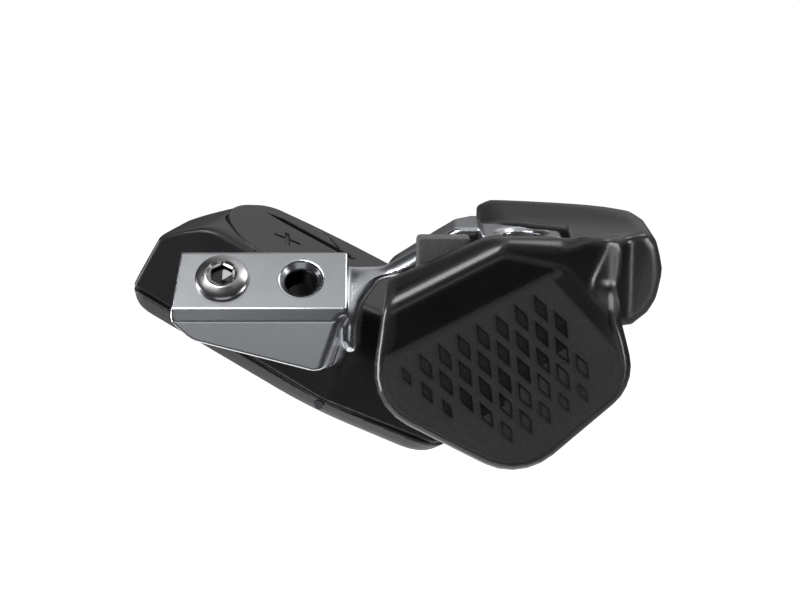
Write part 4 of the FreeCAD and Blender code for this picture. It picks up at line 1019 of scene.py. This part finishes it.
@dataclass
class ClampHardware:
    """Button-head bolt with a six-sided socket, and its washer, square to the bracket's face."""

    turns: int = 144
    face_tilt: float = 43.0
    centre: float = -14.6
    washer_radius: float = 5.0
    washer_thickness: float = 0.8
    washer_foot: float = 0.2
    washer_edge: float = 0.25
    washer_gap: float = 0.1
    head_radius: float = 4.7
    head_height: float = 1.1
    head_edge: float = 0.35
    head_break: float = 0.1
    crown_radius: float = 3.0
    crown_power: float = 0.8
    crown_rings: int = 8
    crown_lip: float = 0.08
    shank_radius: float = 2.9
    shank_length: float = 8.0
    shank_chamfer: float = 0.5
    socket_mouth: float = 2.45
    mouth_drop: float = 0.42
    socket_flat: float = 2.0
    flat_drop: float = 0.5
    socket_depth: float = 1.7
    drill_point: float = 0.5
    shade_mouth: float = 0.45
    shade_slope: float = 0.4
    shade_most: float = 0.85

    def place(self) -> Placement:
        """Local axes with the third along the bolt, out of the face."""
        c, s = turn(self.face_tilt)
        return Placement((self.centre, 0.0, 0.0), ((1, 0, 0), (0, c, s), (0, -s, c)))

    def head_profile(self) -> list[Spot]:
        """Rings of the bolt from the shank's end over the low crown into the socket."""
        base = self.washer_thickness
        edge = base + self.head_edge
        top = base + self.head_height
        foot = base - self.shank_length
        fall = self.crown_radius - self.head_radius
        crown = [(self.head_radius + fall * share, edge + (top - edge) * share ** self.crown_power)
                 for share in np.linspace(0.0, 1.0, self.crown_rings)]
        return [(0.0, foot), (self.shank_radius - self.shank_chamfer, foot),
                (self.shank_radius, foot + self.shank_chamfer), (self.shank_radius, base),
                (self.head_radius - self.head_break, base), (self.head_radius, base + self.head_break),
                *crown, (self.crown_radius - self.crown_lip, top), (self.socket_mouth, top - self.mouth_drop),
                (self.socket_flat, top - self.flat_drop), (self.socket_flat, top - self.socket_depth),
                (0.0, top - self.socket_depth - self.drill_point)]

    def washer_profile(self) -> list[Spot]:
        """Rings of the washer, closed round its hole."""
        hole = self.shank_radius + self.washer_gap
        rim, top = self.washer_radius, self.washer_thickness
        return [(hole, 0.0), (rim - self.washer_foot, 0.0), (rim, self.washer_foot),
                (rim, top - self.washer_edge), (rim - self.washer_edge, top), (hole, top), (hole, 0.0)]

    def hexagon(self, reach: Array, angle: Array, height: Array) -> Array:
        """Six-sided radius inside the socket: the flat's distance over the cosine to its middle."""
        away = (angle + np.pi / 6.0) % (np.pi / 3.0) - np.pi / 6.0
        return np.where(np.isclose(reach, self.socket_flat), self.socket_flat / np.cos(away), reach)

    def socket_shade(self, reach: Array, angle: Array, height: Array) -> Array:
        """Share of darkening, which grows down the socket."""
        deep = self.washer_thickness + self.head_height - self.flat_drop - height
        shade = np.clip(self.shade_mouth + self.shade_slope * deep, 0.0, self.shade_most)
        return np.where(reach < self.socket_mouth, shade, 0.0)

    def build(self, shop: Workshop) -> None:
        """Make the bolt and the washer."""
        bolt = revolved_piece("button_bolt", self.head_profile(), self.place(), self.turns, self.hexagon,
                              self.socket_shade)
        shop.fit(bolt, Body.BASE, "stainless_steel", "clamp_bolt")
        washer = revolved_piece("bolt_washer", self.washer_profile(), self.place(), self.turns)
        shop.fit(washer, Body.BASE, "stainless_steel", "clamp_washer")


# Battery pod


@dataclass
class BatteryPod:
    """Faceted pod: upper housing with the door's bore, bottom cover, gasket and the turning door."""

    step: float = 0.4
    margin: float = 1.0
    gasket_step: float = 0.3
    door_grid: FieldGrid = FieldGrid((-13.2, -13.2, -3.0), (13.2, 13.2, 0.6), 0.16)
    plan_low: Spot = (-25.0, -22.5)
    plan_high: Spot = (47.5, 17.5)
    height: float = 18.4
    shoulder_drop: float = 7.2
    wall_round: float = 0.6
    slope_round: float = 2.0
    shoulder_round: float = 0.5
    edge_round: float = 2.2
    top_round: float = 1.98
    seam_round: float = 0.4
    gasket: float = 0.6
    gasket_radius: float = 2.0
    gasket_inset: float = 0.45
    cover_depth: float = 4.0
    cover_inset: float = 2.6
    cover_round: float = 2.4
    pad: Block = Block((7.5, -19.5, -12.3), (18.6, -10.0, -4.8))
    pad_blend: float = 0.5
    door_radius: float = 12.5
    door_clearance: float = 0.15
    door_thickness: float = 2.4
    door_round: float = 0.5
    bore_depth: float = 3.2
    bore_edge: float = 0.25
    groove: tuple[float, float, float, float] = (-5.8, 8.0, 14.0, 5.8)
    groove_width: float = 1.7
    groove_depth: float = 1.0
    groove_edge: float = 0.2
    sign_turn: float = -9.0
    sign_length: float = 5.6
    sign_width: float = 0.9
    sign_depth: float = 0.4
    sign_edge: float = 0.1
    lens_spot: Spot = (18.6, 1.2)
    lens_radius: float = 0.85
    lens_back: float = -12.0
    seam: tuple[Spot, ...] = ((-23.2, -10.4), (18.4, -20.8), (42.0, -17.6), (46.0, -11.8), (46.0, 6.0),
                              (40.0, 13.0), (9.2, 16.0), (-11.2, 15.0), (-20.2, 8.0), (-23.2, -2.0))
    shoulder: tuple[Spot, ...] = ((-23.8, -10.6), (18.4, -18.6), (40.5, -15.8), (44.8, -10.4), (44.8, 5.9),
                                  (38.6, 12.4), (8.9, 15.7), (-10.1, 14.5), (-18.7, 7.9), (-21.2, -1.9))
    top: tuple[Spot, ...] = ((-10.0, -12.4), (16.0, -16.0), (36.0, -10.4), (40.0, -6.4), (40.0, 5.6),
                             (34.0, 10.6), (8.0, 14.6), (-6.6, 13.1), (-14.6, 7.6), (-17.0, -1.4))

    def place(self) -> Placement:
        """Local axes at the door's centre: along the pod, across it, and out of it along the door's joint."""
        joint = next(j for j in frame["joints"] if j["name"] == "battery_door_turn")
        normal = np.asarray(joint["axis"], float)
        roll = math.atan2(normal[0], normal[2])
        along = np.array([math.cos(roll), 0.0, -math.sin(roll)])
        across = np.cross(normal, along)
        origin = tuple(np.asarray(joint["pos_m"], float) / MM)
        return Placement(origin, (tuple(along), tuple(across), tuple(normal)))

    def levels_grid(self, low: float, high: float, step: float) -> FieldGrid:
        """Grid over the pod's whole plan, between two levels."""
        return FieldGrid((*self.plan_low, low), (*self.plan_high, high), step)

    @staticmethod
    def facets(low: Array, low_level: float, high: Array, high_level: float) -> Array:
        """Planes of the sides between two outlines.

        Args:
            low: corners of the lower outline.
            low_level: its level.
            high: corners of the upper outline.
            high_level: its level.

        Returns:
            One row per side: unit normal and offset of the plane through the lower edge and the middle
            of the upper edge.
        """
        first = np.column_stack([low, np.full(len(low), low_level)])
        second = np.roll(first, -1, axis=0)
        middle = (high + np.roll(high, -1, axis=0)) / 2.0
        third = np.column_stack([middle, np.full(len(high), high_level)])
        normal = np.cross(second - first, third - first)
        normal /= np.linalg.norm(normal, axis=1)[:, None]
        return np.column_stack([normal, -(normal * first).sum(1)])

    @staticmethod
    def inside_facets(planes: Array, x: Array, y: Array, z: Array, blend: float) -> Array:
        """Field of the space inside a set of planes, with rounded meetings."""
        fields = (a * x + b * y + c * z + d for a, b, c, d in planes)
        return reduce(lambda one, other: smooth_max(one, other, blend), fields)

    def groove_distance(self, x: Array, y: Array, z: Array) -> Array:
        """Field of the alignment groove: a bar with a pointed end, sunk to its depth."""
        x0, y0, x1, y1 = self.groove
        half = self.groove_width / 2.0
        run = 2.0 * self.groove_width
        points = [(x0, y0), (x0 + run, y0 - half), (x1 - half, y1 - half), (x1, y1), (x1 - half, y1 + half),
                  (x0 + run, y0 + half)]
        return np.maximum(outline_distance(points, x, y), -self.groove_depth - z)

    def housing(self, x: Array, y: Array, z: Array) -> Array:
        """Field of the upper housing: walls, slopes and top face with the lug's pad, less bore and groove."""
        seam, shoulder, top = (np.array(outline) for outline in (self.seam, self.shoulder, self.top))
        walls = self.facets(seam, -self.height, shoulder, -self.shoulder_drop)
        slopes = self.facets(shoulder, -self.shoulder_drop, top, 0.0)
        solid = smooth_max(self.inside_facets(walls, x, y, z, self.wall_round),
                           self.inside_facets(slopes, x, y, z, self.slope_round), self.shoulder_round)
        solid = smooth_max(solid, z, self.top_round)
        solid = smooth_max(solid, -self.height - z, self.seam_round)
        solid = smooth_min(solid, self.pad.distance(x, y, z), self.pad_blend)
        reach = np.sqrt(x ** 2 + y ** 2)
        bore = np.maximum(reach - self.door_radius - self.door_clearance, -self.bore_depth - z)
        solid = smooth_max(solid, -bore, self.bore_edge)
        return smooth_max(solid, -self.groove_distance(x, y, z), self.groove_edge)

    def cover(self, x: Array, y: Array, z: Array) -> Array:
        """Field of the bottom cover: facets that draw in below the seam, less the lens's hole."""
        seam_level = -self.height - self.gasket
        low_level = seam_level - self.cover_depth
        seam = np.array(self.seam)
        middle = seam.mean(0)
        low = seam + (middle - seam) * self.cover_inset / np.linalg.norm(seam - middle, axis=1)[:, None]
        planes = self.facets(low, low_level, seam, seam_level)
        solid = self.inside_facets(planes, x, y, z, self.edge_round)
        solid = smooth_max(solid, low_level - z, self.cover_round)
        solid = smooth_max(solid, z - seam_level, self.seam_round)
        reach = np.hypot(x - self.lens_spot[0], z - seam_level + self.lens_spot[1])
        return smooth_max(solid, -np.maximum(reach - self.lens_radius, y - self.lens_back), self.groove_edge)

    def gasket_ring(self, x: Array, y: Array, z: Array) -> Array:
        """Field of the gasket: a flat sheet of the seam's outline, drawn in a little."""
        outline = rounded_outline(self.seam, (self.gasket_radius,) * len(self.seam))
        inside = outline_distance(outline, x, y) + self.gasket_inset
        return np.maximum(inside, box_distance(z, -self.height - self.gasket, -self.height))

    def door(self, x: Array, y: Array, z: Array) -> Array:
        """Field of the door: a disc with a soft rim, less the groove and the sunk cross."""
        reach = np.sqrt(x ** 2 + y ** 2)
        disc = box_distance(z, -self.door_thickness, 0.0)
        solid = smooth_max(reach - self.door_radius, disc, self.door_round)
        solid = smooth_max(solid, -self.groove_distance(x, y, z), self.groove_edge)
        c, s = turn(self.sign_turn)
        along, across = np.abs(x * c - y * s), np.abs(x * s + y * c)
        half, wide = self.sign_length / 2.0, self.sign_width / 2.0
        bars = np.minimum(np.maximum(along - half, across - wide), np.maximum(across - half, along - wide))
        return smooth_max(solid, -np.maximum(bars, -self.sign_depth - z), self.sign_edge)

    def build(self, shop: Workshop) -> None:
        """Make the housing, cover, gasket and door."""
        place = self.place()
        seam = -self.height
        low = seam - self.gasket - self.cover_depth
        grid = self.levels_grid(seam - self.margin, self.margin, self.step)
        housing = field_piece("pod_housing", self.housing, grid, place)
        shop.fit(housing, Body.BASE, "pod_black", "pod_upper_housing")
        grid = self.levels_grid(low - self.margin, seam + self.step, self.step)
        cover = field_piece("pod_cover", self.cover, grid, place)
        shop.fit(cover, Body.BASE, "pod_grey", "pod_bottom_cover")
        grid = self.levels_grid(seam - 2.0 * self.gasket, seam + self.gasket, self.gasket_step)
        gasket = field_piece("seam_gasket", self.gasket_ring, grid, place)
        shop.fit(gasket, Body.BASE, "black_rubber", "pod_gasket")
        door = field_piece("cell_door", self.door, self.door_grid, place)
        shop.fit(door, Body.DOOR, "pod_black", "battery_door")


# Switch carrier


@dataclass
class SwitchCarrier:
    """Textured carrier that hangs on the arm and holds a switch on each side of the rocker's tail."""

    grid: FieldGrid = FieldGrid((20.5, -3.4, -7.0), (32.0, 14.4, 9.1), 0.25)
    ends: Spot = (21.3, 31.2)
    edge_round: float = 0.9
    section: tuple[Spot, ...] = ((-2.6, -6.2), (13.6, -6.2), (13.6, 0.0), (9.6, 0.0), (9.6, -4.5),
                                 (1.0, -4.5), (1.0, 8.3), (-2.6, 8.3))

    def distance(self, x: Array, y: Array, z: Array) -> Array:
        """Field of the carrier: its section carried along X between its two ends."""
        return smooth_max(outline_distance(self.section, y, z), box_distance(x, *self.ends), self.edge_round)

    def build(self, shop: Workshop) -> None:
        """Make the carrier."""
        piece = field_piece("carrier_block", self.distance, self.grid, Placement())
        shop.fit(piece, Body.BASE, "textured_black", "switch_carrier")


# Studio


@dataclass(frozen=True)
class Softbox:
    """Area light aimed at the object: the way to it, its distance, its width and height, and its radiance.

    A radiance of 1 is white; the light's power is pi times its area times the radiance.
    """

    name: str
    way: tuple[float, float, float]
    reach: float
    size: Spot
    radiance: float

    def build(self, target: Vector) -> None:
        """Place the light, unseen by the camera.

        Args:
            target: point that the light is aimed at.
        """
        data = bpy.data.lights.new(self.name, "AREA")
        data.shape = "RECTANGLE"
        data.size, data.size_y = (length * MM for length in self.size)
        data.energy = self.radiance * math.pi * data.size * data.size_y
        lamp = bpy.data.objects.new(self.name, data)
        lamp.visible_camera = False
        lamp.location = (target + Vector(self.way).normalized() * self.reach) * MM
        lamp.rotation_mode = "QUATERNION"
        lamp.rotation_quaternion = (target * MM - lamp.location).to_track_quat("-Z", "Y")
        bpy.context.scene.collection.objects.link(lamp)


@dataclass
class Studio:
    """Camera at the photograph's viewing angle, soft lights, white surroundings and a pale floor."""

    target: tuple[float, float, float] = (18.33, -0.875, -3.79)
    elevation: float = 13.0
    reach: float = 411.5
    lens: float = 100.0
    sensor: float = 36.0
    clip: float = 10.0
    floor_drop: float = 150.0
    floor_size: float = 3000.0
    floor_front: float = 120.0
    floor_tone: float = 0.6
    floor_roughness: float = 0.9
    room: float = 0.04
    backdrop: float = 0.65
    backdrop_way: tuple[float, float, float] = (0.45, 0.8, 0.4)
    backdrop_edge: Spot = (0.45, 0.95)
    backdrop_foot: Spot = (0.1, 0.45)
    lights: tuple[Softbox, ...] = (
        Softbox("overhead_panel", (0.25, -0.1, 1.0), 600.0, (700.0, 500.0), 0.5),
        Softbox("key_box", (-0.38, -0.43, 0.82), 480.0, (260.0, 160.0), 10.5),
        Softbox("left_strip", (-0.955, 0.02, -0.15), 450.0, (160.0, 340.0), 12.0),
        Softbox("right_strip", (0.9, -0.3, 0.12), 450.0, (150.0, 130.0), 9.0),
        Softbox("neck_strip", (0.86, -0.477, -0.176), 450.0, (60.0, 180.0), 5.0),
        Softbox("right_box", (0.61, 0.03, 0.79), 480.0, (200.0, 160.0), 5.0),
        Softbox("front_panel", (0.0, -1.0, -0.14), 600.0, (500.0, 180.0), 0.8),
        Softbox("under_panel", (-0.15, 0.1, -1.0), 130.0, (240.0, 160.0), 0.9),
    )

    def camera(self) -> None:
        """Camera looking along Y from the given elevation."""
        data = bpy.data.cameras.new("camera")
        data.lens = self.lens
        data.sensor_width = self.sensor
        data.clip_start = self.clip * MM
        camera = bpy.data.objects.new("camera", data)
        c, s = turn(self.elevation)
        back = Vector((0.0, -c, s))
        camera.location = (Vector(self.target) + back * self.reach) * MM
        camera.rotation_mode = "QUATERNION"
        camera.rotation_quaternion = (-back).to_track_quat("-Z", "Y")
        bpy.context.scene.collection.objects.link(camera)
        bpy.context.scene.camera = camera

    @staticmethod
    def ramp(tree: bpy.types.NodeTree, value: bpy.types.NodeSocket, ends: Spot) -> bpy.types.NodeSocket:
        """Smooth ramp of a value from 0 at the first end to 1 at the second."""
        node = tree.nodes.new("ShaderNodeMapRange")
        node.interpolation_type = "SMOOTHSTEP"
        node.inputs["From Min"].default_value, node.inputs["From Max"].default_value = ends
        tree.links.new(value, node.inputs["Value"])
        return node.outputs[0]

    def surroundings(self) -> None:
        """World: white to the eye and through glass; to gloss, bright above and behind and dark elsewhere."""
        world = bpy.data.worlds.new("surroundings")
        world.use_nodes = True
        bpy.context.scene.world = world
        tree = world.node_tree
        back = tree.nodes["Background"]
        path = tree.nodes.new("ShaderNodeLightPath")
        way = tree.nodes.new("ShaderNodeTexCoord").outputs["Generated"]
        facing = tree.nodes.new("ShaderNodeVectorMath")
        facing.operation = "DOT_PRODUCT"
        facing.inputs[1].default_value = self.backdrop_way
        tree.links.new(way, facing.inputs[0])
        upright = tree.nodes.new("ShaderNodeSeparateXYZ")
        tree.links.new(way, upright.inputs[0])
        rear = self.ramp(tree, facing.outputs["Value"], self.backdrop_edge)
        above = self.ramp(tree, upright.outputs["Z"], self.backdrop_foot)
        shown = Finish.math(tree, "MULTIPLY", rear, above)
        shown = Finish.math(tree, "MULTIPLY_ADD", shown, self.backdrop, self.room)
        seen = Finish.math(tree, "ADD", path.outputs["Is Camera Ray"], path.outputs["Is Transmission Ray"])
        gloss = Finish.math(tree, "MULTIPLY_ADD", path.outputs["Is Glossy Ray"], shown, seen)
        strength = Finish.math(tree, "MAXIMUM", gloss, self.room)
        back.inputs["Color"].default_value = (1.0, 1.0, 1.0, 1.0)
        tree.links.new(strength, back.inputs["Strength"])

    def floor(self) -> None:
        """Pale floor below and behind the object, as white to the eye as the surroundings."""
        level = CAD_LOW.z / MM - self.floor_drop
        x, y = np.meshgrid(np.array([-self.floor_size, self.floor_size]),
                           np.array([-self.floor_front, self.floor_size]), indexing="ij")
        points = np.stack([x, y, np.full_like(x, level)], axis=2).reshape(-1, 3)
        plane = add_mesh("floor", points, np.array([[0, 2, 3, 1]]))
        material = bpy.data.materials.new("floor_paper")
        material.use_nodes = True
        tree = material.node_tree
        surface = tree.nodes["Principled BSDF"]
        surface.inputs["Base Color"].default_value = (*(self.floor_tone,) * 3, 1.0)
        surface.inputs["Roughness"].default_value = self.floor_roughness
        surface.inputs["Specular IOR Level"].default_value = 0.0
        surface.inputs["Emission Color"].default_value = (1.0, 1.0, 1.0, 1.0)
        path = tree.nodes.new("ShaderNodeLightPath")
        tree.links.new(path.outputs["Is Camera Ray"], surface.inputs["Emission Strength"])
        plane.data.materials.append(material)

    def build(self) -> None:
        """Set up the whole studio."""
        self.camera()
        for light in self.lights:
            light.build(Vector(self.target))
        self.surroundings()
        self.floor()
        bpy.context.scene.view_settings.view_transform = "Standard"


def dress_solids(finishes: Finishes) -> None:
    """Give every solid of the frame that still shows its slot's finish."""
    slots = {row["node"]: row["material_slot"] for row in frame["record"]["subparts"]}
    for name, node in frame["nodes"].items():
        if not node.hide_render:
            finishes.dress(node, slots[name])
            LOG.info("%s keeps its solid, finished as %s", name, slots[name])


def main() -> None:
    """Build the sub-assemblies in order, then the studio."""
    logging.basicConfig(level=logging.INFO, format="%(name)s %(message)s")
    finishes = Finishes()
    shop = Workshop(finishes)
    for assembly in (ThumbRocker(), ClampBracket(), ClampHardware(), BatteryPod(), SwitchCarrier()):
        assembly.build(shop)
    dress_solids(finishes)
    Studio().build()


if __name__ == "__main__":
    main()
